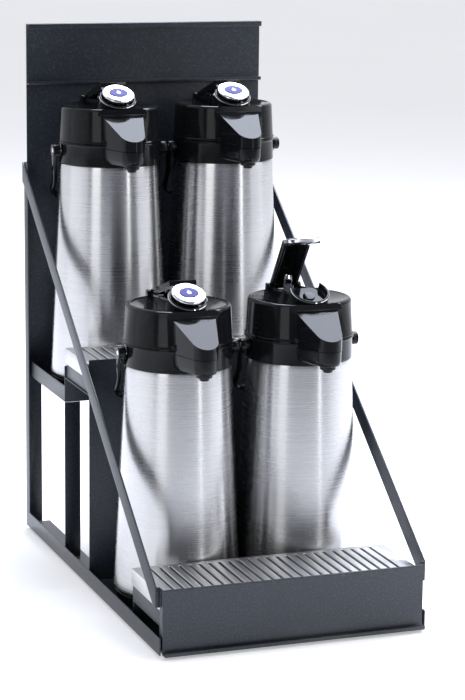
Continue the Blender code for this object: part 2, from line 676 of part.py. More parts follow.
def dip_tube():
    """Suction tube on a cross bar that rests in the mouth and leaves it open on both sides."""
    top = COLLAR_TOP - TUBE_BAR_DROP
    low = BASE_RING_HEIGHT + BASE_RING_WALL + LINER_WALL + TUBE_TO_FLOOR
    tube = rod("tube", (0, 0, low), (0, 0, top), TUBE_RADIUS, segments=12)
    reach = MOUTH_RADIUS - TUBE_BAR_CLEARANCE
    bar_low = (-reach, -TUBE_BAR_HALF, top - TUBE_BAR_HEIGHT)
    bar = box("tube_bar", bar_low, (reach, TUBE_BAR_HALF, top - GAP))
    return combined("dip_tube", tube, adds=(bar,))


def beak_outline(reach, half, nose, steps=6):
    """Plan of the beak, from its root to its round nose and back, as (x, y) points."""
    centre = -(reach - nose)
    bow = arc((0, centre), nose, 0, -180, steps)
    return [(half, -BEAK_ROOT)] + bow + [(-half, -BEAK_ROOT)]


def lever_seat():
    """Tongue under the cap, from the side: its rear and tip, above and below, and the cap's rear edge."""
    along = Vector((0, math.cos(CAP_TILT), math.sin(CAP_TILT)))
    under = Vector((0, math.sin(CAP_TILT), -math.cos(CAP_TILT)))
    cap_rear = CAP_CENTRE + along * CAP_RADIUS
    rear = cap_rear + under * (CAP_THICKNESS + GAP)
    tip = CAP_CENTRE - along * TONGUE_REACH + under * (CAP_THICKNESS + GAP)
    return rear, tip, rear + under * TONGUE_ROOT, tip + under * LEVER_WALL, cap_rear


def lever_slot():
    """Room for the lever in the cap cup's rear wall."""
    rear, tip, rear_low, tip_low, cap_rear = lever_seat()
    clearance = Vector((0, 0, 2 * GAP))
    outline = [
        LEVER_HINGE - Vector((0, 0, LEVER_HINGE_RISE - GAP)), rear_low - clearance, tip_low - clearance,
        tip + Vector((0, 0, CAP_RISE)), LEVER_HINGE + Vector((0, 0, CAP_RISE)),
    ]
    half = LEVER_HALF + GAP
    return prism("lever_slot", [(point.y, point.z) for point in outline], "X", -half, half)


def nozzle():
    """Round spout under the beak, with a narrower tip."""
    base = RIM - BEAK_DEPTH + SINK
    tip = RIM - BEAK_DEPTH - NOZZLE_LENGTH
    step = tip + NOZZLE_TIP_LENGTH
    profile = [
        (0, tip), (NOZZLE_TIP_RADIUS, tip), (NOZZLE_TIP_RADIUS, step), (NOZZLE_RADIUS, step),
        (NOZZLE_RADIUS, base), (0, base),
    ]
    made = turned("nozzle", profile, segments=12)
    made.data.transform(Matrix.Translation((0, -NOZZLE_REACH, 0)))
    return made


def lever_ear(side):
    """Ear beside the lever that holds its pin."""
    inner = LEVER_HALF + 2 * GAP
    barrel = arc((LEVER_HINGE.y, LEVER_HINGE.z), HINGE_BARREL_RADIUS, 0, 180, 6)
    foot_front = (LEVER_HINGE.y - 2 * HINGE_BARREL_RADIUS, RIM - SINK)
    foot_rear = (LEVER_HINGE.y + HINGE_BARREL_RADIUS, RIM - HEAD_SHOULDER + SINK)
    outline = [foot_front, foot_rear] + barrel
    return prism(f"lever_ear_{side}", outline, "X", *sorted((side * inner, side * (inner + LUG_WIDTH))))


def lid_knuckle():
    """Hinge knuckle behind the head, between the collar's lugs."""
    outline = arc((LID_HINGE.y, LID_HINGE.z), HINGE_BARREL_RADIUS, -90, 90, 6)
    in_wall = HEAD_RADIUS - HEAD_WALL / 2
    outline += [(in_wall, RIM - 2 * HEAD_SHOULDER), (in_wall, HEAD_BOTTOM + GAP)]
    outline += [(LID_HINGE.y - HINGE_BARREL_RADIUS / 2, HEAD_BOTTOM + GAP)]
    return prism("lid_knuckle", outline, "X", -KNUCKLE_HALF, KNUCKLE_HALF)


def pump_head():
    """Hollow pump head with its beak, nozzle, cap cup, lever ears and hinge knuckle, open underneath."""
    shoulder = [
        (radius, height)
        for radius, height in arc((HEAD_RADIUS - HEAD_SHOULDER, RIM - HEAD_SHOULDER), HEAD_SHOULDER, 0, 90, 3)
    ]
    body = turned("head_body", [(0, HEAD_BOTTOM), (HEAD_RADIUS, HEAD_BOTTOM)] + shoulder + [(0, RIM)])
    hollow_top = RIM - HEAD_WALL
    hollow = turned(
        "head_hollow",
        [
            (0, HEAD_BOTTOM - PAST), (HEAD_RADIUS - HEAD_WALL, HEAD_BOTTOM - PAST),
            (HEAD_RADIUS - HEAD_WALL, RIM - HEAD_SHOULDER), (HEAD_RADIUS - HEAD_SHOULDER, hollow_top),
            (0, hollow_top),
        ],
    )
    slope = (BEAK_TIP_DROP - BEAK_ROOT_DROP) / (BEAK_REACH - BEAK_ROOT)
    top_outline = beak_outline(BEAK_REACH, BEAK_ROOT_HALF, BEAK_NOSE_RADIUS)
    upper = [(x, y, RIM - BEAK_ROOT_DROP - (-y - BEAK_ROOT) * slope) for x, y in top_outline]
    upper += [(x, y, HEAD_BOTTOM) for x, y in top_outline]
    skirt_root = -(COLLAR_RADIUS + BEAK_TO_COLLAR)
    inset = beak_outline(BEAK_REACH - BEAK_SEAM, SKIRT_HALF, BEAK_NOSE_RADIUS - BEAK_SEAM)
    skirt_outline = [(x, min(y, skirt_root)) for x, y in inset]
    lower = [(x, y, HEAD_BOTTOM + SINK / 2) for x, y in skirt_outline]
    lower += [(x * SKIRT_TAPER, y, RIM - BEAK_DEPTH) for x, y in skirt_outline]
    cup_axis = Matrix.Rotation(CAP_TILT, 4, "X")
    cup_place = Matrix.Translation(CAP_CENTRE) @ cup_axis
    cup = solid_drum("cup", CUP_RADIUS, -CUP_DEPTH, -CUP_TO_CAP)
    cup.data.transform(cup_place)
    well = solid_drum("cup_well", CUP_RADIUS - CUP_WALL, -WELL_DEPTH, CAP_RISE)
    well.data.transform(cup_place)
    lid_pin = cross_rod("lid_pin", LID_HINGE, KNUCKLE_HALF + GAP + LUG_WIDTH, PIN_RADIUS)
    adds = [hull("beak_upper", upper), hull("beak_lower", lower), nozzle(), cup]
    adds += [lever_ear(-1), lever_ear(1), lid_knuckle(), lid_pin]
    ear_end = LEVER_HALF + 2 * GAP + LUG_WIDTH + PAST
    cuts = [
        hollow,
        well,
        lever_slot(),
        cross_rod("lever_pin_bore", LEVER_HINGE, ear_end, PIN_RADIUS + PIN_CLEARANCE),
        rod("rod_bore", (0, ROD_Y, hollow_top - PAST), (0, ROD_Y, RIM + PAST), ROD_RADIUS + ROD_CLEARANCE),
    ]
    return combined("pump_head", body, adds=adds, cuts=cuts)


def lever_arm():
    """Channel-shaped lever, open underneath, with its pin and the tongue that holds the cap."""
    hinge = (LEVER_HINGE.y, LEVER_HINGE.z)
    tongue_rear, tongue_tip, rear_low, tip_low, cap_rear = lever_seat()
    barrel = arc(hinge, HINGE_BARREL_RADIUS, -90, 90, 6)
    top_front = Vector((0, tongue_rear.y + LEVER_CROWN, cap_rear.z + LEVER_CROWN))
    corners = (top_front, tongue_rear, tongue_tip, tip_low, rear_low)
    side = barrel + [(corner.y, corner.z) for corner in corners]
    block = prism("lever_block", side, "X", -LEVER_HALF, LEVER_HALF)
    slope = (top_front.z - (hinge[1] + HINGE_BARREL_RADIUS)) / (top_front.y - hinge[0])
    thick = LEVER_WALL / math.cos(math.atan(slope))
    near = hinge[0] - HINGE_BARREL_RADIUS - LEVER_WALL
    far = tongue_rear.y + LEVER_WALL
    top_near = hinge[1] + HINGE_BARREL_RADIUS + slope * (near - hinge[0]) - thick
    top_far = hinge[1] + HINGE_BARREL_RADIUS + slope * (far - hinge[0]) - thick
    channel = prism(
        "lever_channel",
        [(near, top_near), (far, top_far), (far, RIM - CAP_RISE), (near, RIM - CAP_RISE)],
        "X", -LEVER_HALF + LEVER_WALL, LEVER_HALF - LEVER_WALL,
    )
    pin = cross_rod("lever_pin", LEVER_HINGE, LEVER_HALF + 2 * GAP + LUG_WIDTH, PIN_RADIUS)
    return combined("lever_arm", block, adds=(pin,), cuts=(channel,))


def lever_cap():
    """Round thumb cap on the lever's tongue, thinner towards its rim."""
    low = -CAP_THICKNESS
    dish = CAP_CROWN * 0.4
    profile = [
        (0, low), (CAP_RADIUS - CAP_CHAMFER, low), (CAP_RADIUS, low / 2), (CAP_RADIUS - CAP_CHAMFER / 2, 0),
        (CAP_RADIUS * 0.8, CAP_CROWN), (CAP_RADIUS * 0.7, dish), (0, dish),
    ]
    made = turned("lever_cap", profile)
    made.data.transform(Matrix.Translation(CAP_CENTRE) @ Matrix.Rotation(CAP_TILT, 4, "X"))
    return made


def pump_plunger():
    """Push rod with a clevis under the lever and the bellows disc inside the head."""
    arm_top = LEVER_HINGE.z + HINGE_BARREL_RADIUS
    reach = LEVER_HINGE.y - ROD_Y
    top = arm_top + reach * math.tan(LEVER_RISE) - LEVER_WALL - ROD_TO_LEVER
    disc = HEAD_BOTTOM + PISTON_RISE
    profile = [
        (0, disc), (PISTON_RADIUS, disc), (PISTON_RADIUS, disc + PISTON_THICKNESS),
        (ROD_RADIUS, disc + PISTON_THICKNESS), (ROD_RADIUS, top), (0, top),
    ]
    made = turned("pump_plunger", profile, segments=16)
    made.data.transform(Matrix.Translation((0, ROD_Y, 0)))
    return made


def bail_handle():
    """Carrying handle: two arms from eyes on the collar's studs, and a cross bar behind."""
    steps = 6
    straight = BAIL_LENGTH - BAIL_CORNER
    side_run = []
    for step in range(steps + 1):
        drawn_in = (BAIL_PIVOT_X - BAIL_BOW_HALF) * math.sin(math.pi / 2 * step / steps) ** 2
        side_run.append((BAIL_PIVOT_X - drawn_in, straight * step / steps))
    turn = arc((BAIL_BOW_HALF - BAIL_CORNER, straight), BAIL_CORNER, 0, 90, 4)[1:]
    half = side_run + turn
    path = half + [(-x, y) for x, y in reversed(half)]
    curve = bpy.data.curves.new("bail_bar", "CURVE")
    curve.dimensions = "3D"
    curve.bevel_depth = BAIL_BAR_RADIUS
    curve.bevel_resolution = 1
    curve.use_fill_caps = True
    line = curve.splines.new("POLY")
    line.points.add(len(path) - 1)
    for point, (x, y) in zip(line.points, path):
        point.co = (x, y, 0, 1)
    guide = bpy.data.objects.new("bail_bar", curve)
    bpy.context.scene.collection.objects.link(guide)
    bar = combined("bail_bar_mesh", guide)
    inner = COLLAR_RADIUS + BAIL_EYE_CLEARANCE
    bore = BAIL_STUD_RADIUS + PIN_CLEARANCE
    adds = []
    cuts = []
    for side in (-1, 1):
        ends = (side * inner, 0, 0), (side * BAIL_OUTER, 0, 0)
        past = (side * (inner - PAST), 0, 0), (side * (BAIL_OUTER + PAST), 0, 0)
        adds.append(rod(f"bail_eye_{side}", *ends, BAIL_EYE_RADIUS, 16))
        cuts.append(rod(f"bail_bore_{side}", *past, bore))
    made = combined("bail_handle", bar, adds=adds, cuts=cuts)
    hang = Matrix.Rotation(-math.radians(BAIL_HANG_DEG), 4, "X")
    made.data.transform(Matrix.Translation(BAIL_PIVOT) @ hang)
    return made


def airpot_pieces():
    """One mesh of each airpot piece, with the point that its own origin goes to."""
    still = Vector((0, 0, 0))
    makers = {
        "body_shell": (body_shell, still),
        "base_ring": (base_ring, still),
        "vacuum_liner": (vacuum_liner, still),
        "collar": (collar, still),
        "dip_tube": (dip_tube, still),
        "bail_handle": (bail_handle, BAIL_PIVOT),
        "pump_head": (pump_head, LID_HINGE),
        "pump_plunger": (pump_plunger, LID_HINGE),
        "lever_arm": (lever_arm, LEVER_HINGE),
        "lever_cap": (lever_cap, LEVER_HINGE),
    }
    meshes = {}
    for name, (make, origin) in makers.items():
        made = make()
        made.data.transform(Matrix.Translation(-origin))
        smooth(made.data)
        meshes[name] = (made.data, origin)
        bpy.data.objects.remove(made, do_unlink=True)
    return meshes


def place_airpot(prefix, place, meshes, surfaces, origin, raised):
    """One airpot: its standing pieces, its lid on a hinge, and its lever on a hinge in the lid."""
    stand = empty(prefix + "_pot", place, origin)
    lid = empty(prefix + "_lid_hinge", LID_HINGE, stand)
    lever = empty(prefix + "_lever_hinge", LEVER_HINGE - LID_HINGE, lid)
    lever.rotation_euler.x = -LEVER_RAISED if raised else 0.0
    parents = {"pump_head": lid, "pump_plunger": lid, "lever_arm": lever, "lever_cap": lever}
    for name, (mesh, pivot) in meshes.items():
        made = bpy.data.objects.new(f"{prefix}_{name}", mesh)
        bpy.context.scene.collection.objects.link(made)
        made.parent = parents.get(name, stand)
        if made.parent == stand:
            made.location = pivot
        if name == "pump_plunger" and raised:
            made.location.z = PLUNGER_TRAVEL
        made.data.materials.clear()
        made.data.materials.append(surfaces[name])


def main():
    clear_scene()
    coat = finish("powder_coat", (0.045, 0.052, 0.064), 0.45)
    plastic = finish("black_plastic", (0.006, 0.007, 0.009), 0.15)
    steel = finish("brushed_steel", (0.72, 0.71, 0.69), 0.28, 1.0)
    chrome = finish("chrome", (0.85, 0.85, 0.86), 0.08, 1.0)
    rubber = finish("rubber", (0.01, 0.01, 0.01), 0.8)
    grey = finish("grey_plastic", (0.20, 0.21, 0.22), 0.4)
    surfaces = {
        "body_shell": steel, "vacuum_liner": steel, "lever_cap": chrome, "pump_plunger": grey,
        "dip_tube": grey, "base_ring": plastic, "collar": plastic, "bail_handle": plastic,
        "pump_head": plastic, "lever_arm": plastic,
    }
    origin = empty("rack_origin", (0, -MIDDLE_Y, FOOT_PROJECTION))
    build_rack(origin, coat, steel, rubber)
    meshes = airpot_pieces()
    for tier, depth, height in (
        ("rear", REAR_POT_Y, SHELF_TOP + GAP),
        ("front", FRONT_POT_Y, FLOOR_TOP + GAP),
    ):
        for hand, across in (("left", -POT_X), ("right", POT_X)):
            raised = (tier, hand) == ("front", "right")
            place_airpot(f"{tier}_{hand}", (across, depth, height), meshes, surfaces, origin, raised)


main()
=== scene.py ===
"""Looks of a two-tier airpot serving rack and its four lever pots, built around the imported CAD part.

Lengths are metres, +Z is up and the front faces -Y. The CAD boxes and pivots come from the frame, and
the pieces' finer sizes are fields of their classes. An airpot's pieces are modelled once, about the pot's
own axis and from the surface that it stands on, and are then copied to each pot.
"""

from __future__ import annotations

import json
import logging
import math
from collections.abc import Callable, Sequence
from dataclasses import dataclass, field
from enum import Enum

import bmesh
import bpy
from mathutils import Matrix, Vector


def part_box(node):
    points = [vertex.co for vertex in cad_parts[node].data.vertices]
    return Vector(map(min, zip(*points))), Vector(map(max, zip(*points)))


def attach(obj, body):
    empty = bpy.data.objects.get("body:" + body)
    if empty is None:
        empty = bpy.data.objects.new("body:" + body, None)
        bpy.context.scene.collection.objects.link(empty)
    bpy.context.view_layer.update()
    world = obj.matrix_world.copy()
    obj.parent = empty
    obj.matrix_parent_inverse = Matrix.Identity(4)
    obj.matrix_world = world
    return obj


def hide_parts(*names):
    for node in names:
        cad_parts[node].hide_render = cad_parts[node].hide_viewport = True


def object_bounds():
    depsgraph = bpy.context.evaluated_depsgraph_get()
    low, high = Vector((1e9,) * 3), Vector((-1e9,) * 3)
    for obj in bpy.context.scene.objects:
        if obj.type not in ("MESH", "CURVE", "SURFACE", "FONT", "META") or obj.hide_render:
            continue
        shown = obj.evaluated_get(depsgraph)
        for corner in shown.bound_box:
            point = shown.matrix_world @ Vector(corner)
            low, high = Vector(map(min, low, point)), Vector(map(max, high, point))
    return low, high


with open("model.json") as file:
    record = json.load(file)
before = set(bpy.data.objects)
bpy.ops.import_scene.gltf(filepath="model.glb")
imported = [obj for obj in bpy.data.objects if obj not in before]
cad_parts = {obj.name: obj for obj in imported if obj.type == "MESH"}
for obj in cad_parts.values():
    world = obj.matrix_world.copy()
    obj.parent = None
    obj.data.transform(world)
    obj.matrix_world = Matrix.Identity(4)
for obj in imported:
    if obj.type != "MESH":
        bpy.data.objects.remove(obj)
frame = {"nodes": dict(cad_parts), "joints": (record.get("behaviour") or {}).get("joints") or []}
CAD_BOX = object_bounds()

LOG = logging.getLogger("airpot_rack")
Profile = Sequence[tuple[float, float]]
SIDES = 96
WELD = 1e-6


class Slot(Enum):
    """Material slots of the record."""

    POWDER_COAT = "powder_coat"
    BLACK_PLASTIC = "black_plastic"
    BRUSHED_STEEL = "brushed_steel"
    LINER_STEEL = "liner_steel"
    GRILLE_STEEL = "grille_steel"
    CHROME = "chrome"
    GREY_PLASTIC = "grey_plastic"
    RUBBER = "rubber"
    BADGE = "badge"
    BADGE_MARK = "badge_mark"


class Brush(Enum):
    """Direction of a brushed finish, as how fast its lines change along X, Y and Z."""

    ROUND = (9.0, 9.0, 2400.0)
    ALONG = (2000.0, 14.0, 2000.0)


class Lever(Enum):
    """How a pot's lever stands, as the angle in degrees that it is raised by."""

    DOWN = 0.0
    RAISED = 38.0


# Shader maths -------------------------------------------------------------------------------------
class Number:
    """A number inside a shader. An expression on it adds its Math nodes."""

    def __init__(self, graph: ShaderGraph, socket: bpy.types.NodeSocket) -> None:
        """Wraps a socket.

        Args:
            graph: The graph that the socket belongs to.
            socket: The output socket that carries the number.
        """
        self.graph = graph
        self.socket = socket

    def _joined(self, operation: str, left: object, right: object) -> Number:
        """Adds one Math node.

        Args:
            operation: The Math node's operation.
            left: Its first value.
            right: Its second value.

        Returns:
            The result as a number.
        """
        made = self.graph.node("ShaderNodeMath", {"operation": operation}, {0: left, 1: right})
        return Number(self.graph, made.outputs[0])

    def __add__(self, other: object) -> Number:
        """Adds."""
        return self._joined("ADD", self, other)

    def __radd__(self, other: object) -> Number:
        """Adds, from the right."""
        return self._joined("ADD", other, self)

    def __sub__(self, other: object) -> Number:
        """Subtracts."""
        return self._joined("SUBTRACT", self, other)

    def __rsub__(self, other: object) -> Number:
        """Subtracts, from the right."""
        return self._joined("SUBTRACT", other, self)

    def __mul__(self, other: object) -> Number:
        """Multiplies."""
        return self._joined("MULTIPLY", self, other)

    def __rmul__(self, other: object) -> Number:
        """Multiplies, from the right."""
        return self._joined("MULTIPLY", other, self)


class ShaderGraph:
    """A material under construction, with one Principled BSDF."""

    def __init__(self, name: str) -> None:
        """Starts a material that reads Object coordinates.

        Args:
            name: The material's name.
        """
        self.material = bpy.data.materials.new(name)
        self.material.use_nodes = True
        self.tree = self.material.node_tree
        self.shader = self.tree.nodes["Principled BSDF"]
        self.place = self.node("ShaderNodeTexCoord").outputs["Object"]

    def node(self, kind: str, settings: dict | None = None, inputs: dict | None = None) -> bpy.types.Node:
        """Adds any node.

        Args:
            kind: The node's type.
            settings: Its settings, which are set before its sockets.
            inputs: Values or links for its input sockets, by name or number.

        Returns:
            The node.
        """
        made = self.tree.nodes.new(kind)
        for name, value in (settings or {}).items():
            setattr(made, name, value)
        for key, value in (inputs or {}).items():
            self.feed(made.inputs[key], value)
        return made

    def feed(self, socket: bpy.types.NodeSocket, value: object) -> None:
        """Links or sets one input socket.

        Args:
            socket: The input.
            value: A number, a socket or a plain value.
        """
        if isinstance(value, Number):
            value = value.socket
        if isinstance(value, bpy.types.NodeSocket):
            self.tree.links.new(value, socket)
        else:
            socket.default_value = value

    def noise(self, scale: float, detail: float = 2.0, stretch: Sequence[float] = (1, 1, 1)) -> Number:
        """Adds a noise pattern.

        Args:
            scale: Features for each metre, before stretching.
            detail: Octaves of finer noise.
            stretch: How much faster the pattern changes along each axis.

        Returns:
            A number around 0.5.
        """
        place = self.node("ShaderNodeMapping", {}, {"Vector": self.place, "Scale": stretch})
        inputs = {"Vector": place.outputs[0], "Scale": scale, "Detail": detail}
        return Number(self, self.node("ShaderNodeTexNoise", {}, inputs).outputs[0])

    def between(self, value: Number, low: float, high: float) -> Number:
        """Spreads a range of a number over 0 to 1.

        Args:
            value: The number.
            low: What becomes 0.
            high: What becomes 1.

        Returns:
            The number, held between 0 and 1.
        """
        inputs = {"Value": value, "From Min": low, "From Max": high}
        return Number(self, self.node("ShaderNodeMapRange", {"clamp": True}, inputs).outputs[0])

    def height(self) -> Number:
        """Height above the ground."""
        return Number(self, self.node("ShaderNodeSeparateXYZ", {}, {0: self.place}).outputs["Z"])

    def mixed(self, factor: Number, first: Sequence[float], second: object) -> bpy.types.NodeSocket:
        """Mixes two colours.

        Args:
            factor: 0 for the first and 1 for the second.
            first: A colour.
            second: A colour, or the socket of one.

        Returns:
            The mixed colour's socket.
        """
        inputs = {0: factor, 6: colour(first), 7: colour(second)}
        return self.node("ShaderNodeMix", {"data_type": "RGBA"}, inputs).outputs[2]

    def bump(self, relief: Number, depth: float, strength: float = 1.0) -> bpy.types.NodeSocket:
        """Turns a pattern into relief.

        Args:
            relief: The height pattern, from 0 to 1.
            depth: The real depth of the pattern, in metres.
            strength: The share of it that is used.

        Returns:
            The normal's socket.
        """
        inputs = {"Height": relief, "Distance": depth, "Strength": strength}
        return self.node("ShaderNodeBump", {}, inputs).outputs[0]

    def done(self, **inputs: object) -> bpy.types.Material:
        """Sets the Principled BSDF's sockets.

        Args:
            **inputs: Values or links, by the socket's name with underscores for spaces.

        Returns:
            The finished material.
        """
        for name, value in inputs.items():
            self.feed(self.shader.inputs[name.replace("_", " ")], value)
        return self.material


def colour(value: object) -> object:
    """Gives a plain colour its alpha, and leaves a socket as it is."""
    return (*value, 1.0) if isinstance(value, tuple) and len(value) == 3 else value


# Finishes -----------------------------------------------------------------------------------------
@dataclass(frozen=True)
class PowderCoat:
    """Charcoal powder coat with a pebbled skin, pale painted highlights on its pebble tops and a little dust
    near the ground.
    """

    base: tuple[float, float, float] = (0.015, 0.020, 0.029)
    # pale colour painted on the pebble tops as their highlight
    painted_pebble_highlight: tuple[float, float, float] = (0.120, 0.135, 0.160)
    dust: tuple[float, float, float] = (0.120, 0.118, 0.112)
    pebble: float = 430.0
    depth: float = 0.00035

    def material(self) -> bpy.types.Material:
        """Builds the material."""
        graph = ShaderGraph("powder_coat")
        pebbles = graph.noise(self.pebble, 3)
        fine = graph.noise(self.pebble * 3.1, 2)
        # Painted highlight: the highest points of the bump pattern get the pale colour.
        painted_pebble_highlights = graph.between(pebbles * 0.7 + fine * 0.3, 0.52, 0.66)
        clouds = graph.noise(7, 3)
        settled = graph.between(graph.height(), 0.03, 0.0) * graph.between(clouds, 0.42, 0.7) * 0.35
        skin = graph.mixed(painted_pebble_highlights * 0.30, self.base, self.painted_pebble_highlight)
        return graph.done(
            Base_Color=graph.mixed(1 - settled, self.dust, skin),
            Roughness=0.27 + fine * 0.12 + clouds * 0.08,
            Specular_IOR_Level=0.50,
            Normal=graph.bump(pebbles * 0.7 + fine * 0.3, self.depth),
        )


@dataclass(frozen=True)
class BrushedSteel:
    """Stainless steel with fine brush lines, faint smears and reflections drawn out across the lines."""

    name: str
    brush: Brush
    dark: tuple[float, float, float] = (0.56, 0.56, 0.565)
    light: tuple[float, float, float] = (0.66, 0.66, 0.665)
    roughness: float = 0.23
    stretch: float = 0.88

    def material(self) -> bpy.types.Material:
        """Builds the material."""
        graph = ShaderGraph(self.name)
        lines = graph.noise(1.0, 4, self.brush.value)
        smears = graph.noise(11, 3)
        return graph.done(
            Base_Color=graph.mixed(graph.between(lines, 0.3, 0.7), self.dark, self.light),
            Metallic=1.0,
            Roughness=self.roughness + lines * 0.07 + graph.between(smears, 0.5, 0.8) * 0.05,
            Anisotropic=self.stretch,
            Anisotropic_Rotation=0.25,
            Normal=graph.bump(lines, 0.000005, 0.5),
        )


@dataclass(frozen=True)
class MouldedPlastic:
    """Moulded plastic with a faint waviness, hairline scratches and finger marks in its gloss."""

    name: str
    base: tuple[float, float, float]
    worn: tuple[float, float, float]
    roughness: float
    marks: float

    def material(self) -> bpy.types.Material:
        """Builds the material."""
        graph = ShaderGraph(self.name)
        hairlines = graph.between(graph.noise(60, 2, (1, 1, 9)), 0.62, 0.72)
        smudges = graph.between(graph.noise(34, 3), 0.46, 0.72)
        return graph.done(
            Base_Color=graph.mixed(hairlines * 0.4, self.base, self.worn),
            Roughness=self.roughness + smudges * self.marks,
            Specular_IOR_Level=0.20,
            Normal=graph.bump(graph.noise(26, 1), 0.0004, 0.10),
        )


@dataclass(frozen=True)
class PolishedMetal:
    """Plated or drawn metal with fine wear in its polish."""

    name: str
    base: tuple[float, float, float]
    dull: tuple[float, float, float]
    roughness: float

    def material(self) -> bpy.types.Material:
        """Builds the material."""
        graph = ShaderGraph(self.name)
        wear = graph.noise(240, 4)
        return graph.done(
            Base_Color=graph.mixed(graph.between(wear, 0.45, 0.8), self.base, self.dull),
            Metallic=1.0,
            Roughness=self.roughness + wear * 0.08,
            Normal=graph.bump(wear, 0.00002, 0.4),
        )


@dataclass(frozen=True)
class Rubber:
    """Matte black rubber with a dry bloom."""

    base: tuple[float, float, float] = (0.012, 0.012, 0.013)
    bloom: tuple[float, float, float] = (0.045, 0.045, 0.045)

    def material(self) -> bpy.types.Material:
        """Builds the material."""
        graph = ShaderGraph("rubber")
        grain = graph.noise(1500, 2)
        return graph.done(
            Base_Color=graph.mixed(graph.between(grain, 0.5, 0.9), self.base, self.bloom),
            Roughness=0.68 + grain * 0.2,
            Normal=graph.bump(grain, 0.0001),
        )


@dataclass(frozen=True)
class Enamel:
    """Fired enamel under a clear coat."""

    name: str
    base: tuple[float, float, float]
    deep: tuple[float, float, float]

    def material(self) -> bpy.types.Material:
        """Builds the material."""
        graph = ShaderGraph(self.name)
        depth = graph.noise(420, 3)
        return graph.done(
            Base_Color=graph.mixed(graph.between(depth, 0.35, 0.65), self.base, self.deep),
            Roughness=0.34 + depth * 0.10,
            Specular_IOR_Level=0.12,
        )


@dataclass(frozen=True)
class PaleFloor:
    """Pale studio sweep with a faint cloudiness, lit from within near and behind the object as painted light,
    and painted dark in front of it as painted shade.
    """

    low: tuple[float, float, float] = (0.78, 0.78, 0.79)
    high: tuple[float, float, float] = (0.84, 0.84, 0.85)
    # painted shade: the darker floor colour and dimmer glow in front of the object
    front: tuple[float, float, float] = (0.34, 0.34, 0.35)
    dim: tuple[float, float, float] = (0.04, 0.04, 0.045)
    glow: tuple[float, float, float] = (1.0, 1.0, 1.0)
    strength: float = 0.38

    def material(self) -> bpy.types.Material:
        """Builds the material."""
        graph = ShaderGraph("pale_floor")
        depth = Number(graph, graph.node("ShaderNodeSeparateXYZ", {}, {0: graph.place}).outputs["Y"])
        # Painted shade in front of the object, painted glow near and behind it.
        near = graph.between(depth, -1.5, -0.6)
        clouds = graph.mixed(graph.noise(1.5, 2), self.low, self.high)
        return graph.done(
            Base_Color=graph.mixed(near, self.front, clouds),
            Roughness=0.8,
            Specular_IOR_Level=0.2,
            Emission_Color=graph.mixed(near, self.dim, self.glow),
            Emission_Strength=self.strength,
        )


def finishes() -> dict[Slot, bpy.types.Material]:
    """Builds every finish of the object.

    Returns:
        The material of each slot.
    """
    black, black_worn = (0.0065, 0.0075, 0.0085), (0.03, 0.032, 0.035)
    grey, grey_worn = (0.17, 0.18, 0.225), (0.26, 0.27, 0.31)
    bar_dark, bar_light = (0.60, 0.60, 0.60), (0.74, 0.74, 0.74)
    bars = BrushedSteel("grille_steel", Brush.ALONG, bar_dark, bar_light, 0.34, 0.0)
    return {
        Slot.POWDER_COAT: PowderCoat().material(),
        Slot.BLACK_PLASTIC: MouldedPlastic("black_plastic", black, black_worn, 0.07, 0.09).material(),
        Slot.BRUSHED_STEEL: BrushedSteel("brushed_steel", Brush.ROUND).material(),
        Slot.LINER_STEEL: BrushedSteel("liner_steel", Brush.ROUND, roughness=0.3).material(),
        Slot.GRILLE_STEEL: bars.material(),
        Slot.CHROME: PolishedMetal("chrome", (0.84, 0.84, 0.85), (0.66, 0.66, 0.67), 0.04).material(),
        Slot.GREY_PLASTIC: MouldedPlastic("grey_plastic", grey, grey_worn, 0.28, 0.15).material(),
        Slot.RUBBER: Rubber().material(),
        Slot.BADGE: Enamel("badge_enamel", (0.030, 0.026, 0.19), (0.050, 0.042, 0.26)).material(),
        Slot.BADGE_MARK: Enamel("badge_mark_enamel", (0.80, 0.80, 0.84), (0.70, 0.70, 0.76)).material(),
    }


# Bench --------------------------------------------------------------------------------------------
def clear_selection() -> None:
    """Leaves edit mode and deselects everything."""
    if bpy.context.mode != "OBJECT":
        bpy.ops.object.mode_set(mode="OBJECT")
    bpy.ops.object.select_all(action="DESELECT")


def arc(
    centre: tuple[float, float], radius: float, first: float, last: float, steps: int = 6
) -> list[tuple[float, float]]:
    """Points of an arc in a profile.

    Args:
        centre: The arc's centre.
        radius: Its radius.
        first: Its first angle, in degrees.
        last: Its last angle, in degrees.
        steps: How many straight steps stand for it.

    Returns:
        The points, both ends included.
    """
    turns = [math.radians(first + (last - first) * step / steps) for step in range(steps + 1)]
    return [(centre[0] + radius * math.cos(turn), centre[1] + radius * math.sin(turn)) for turn in turns]


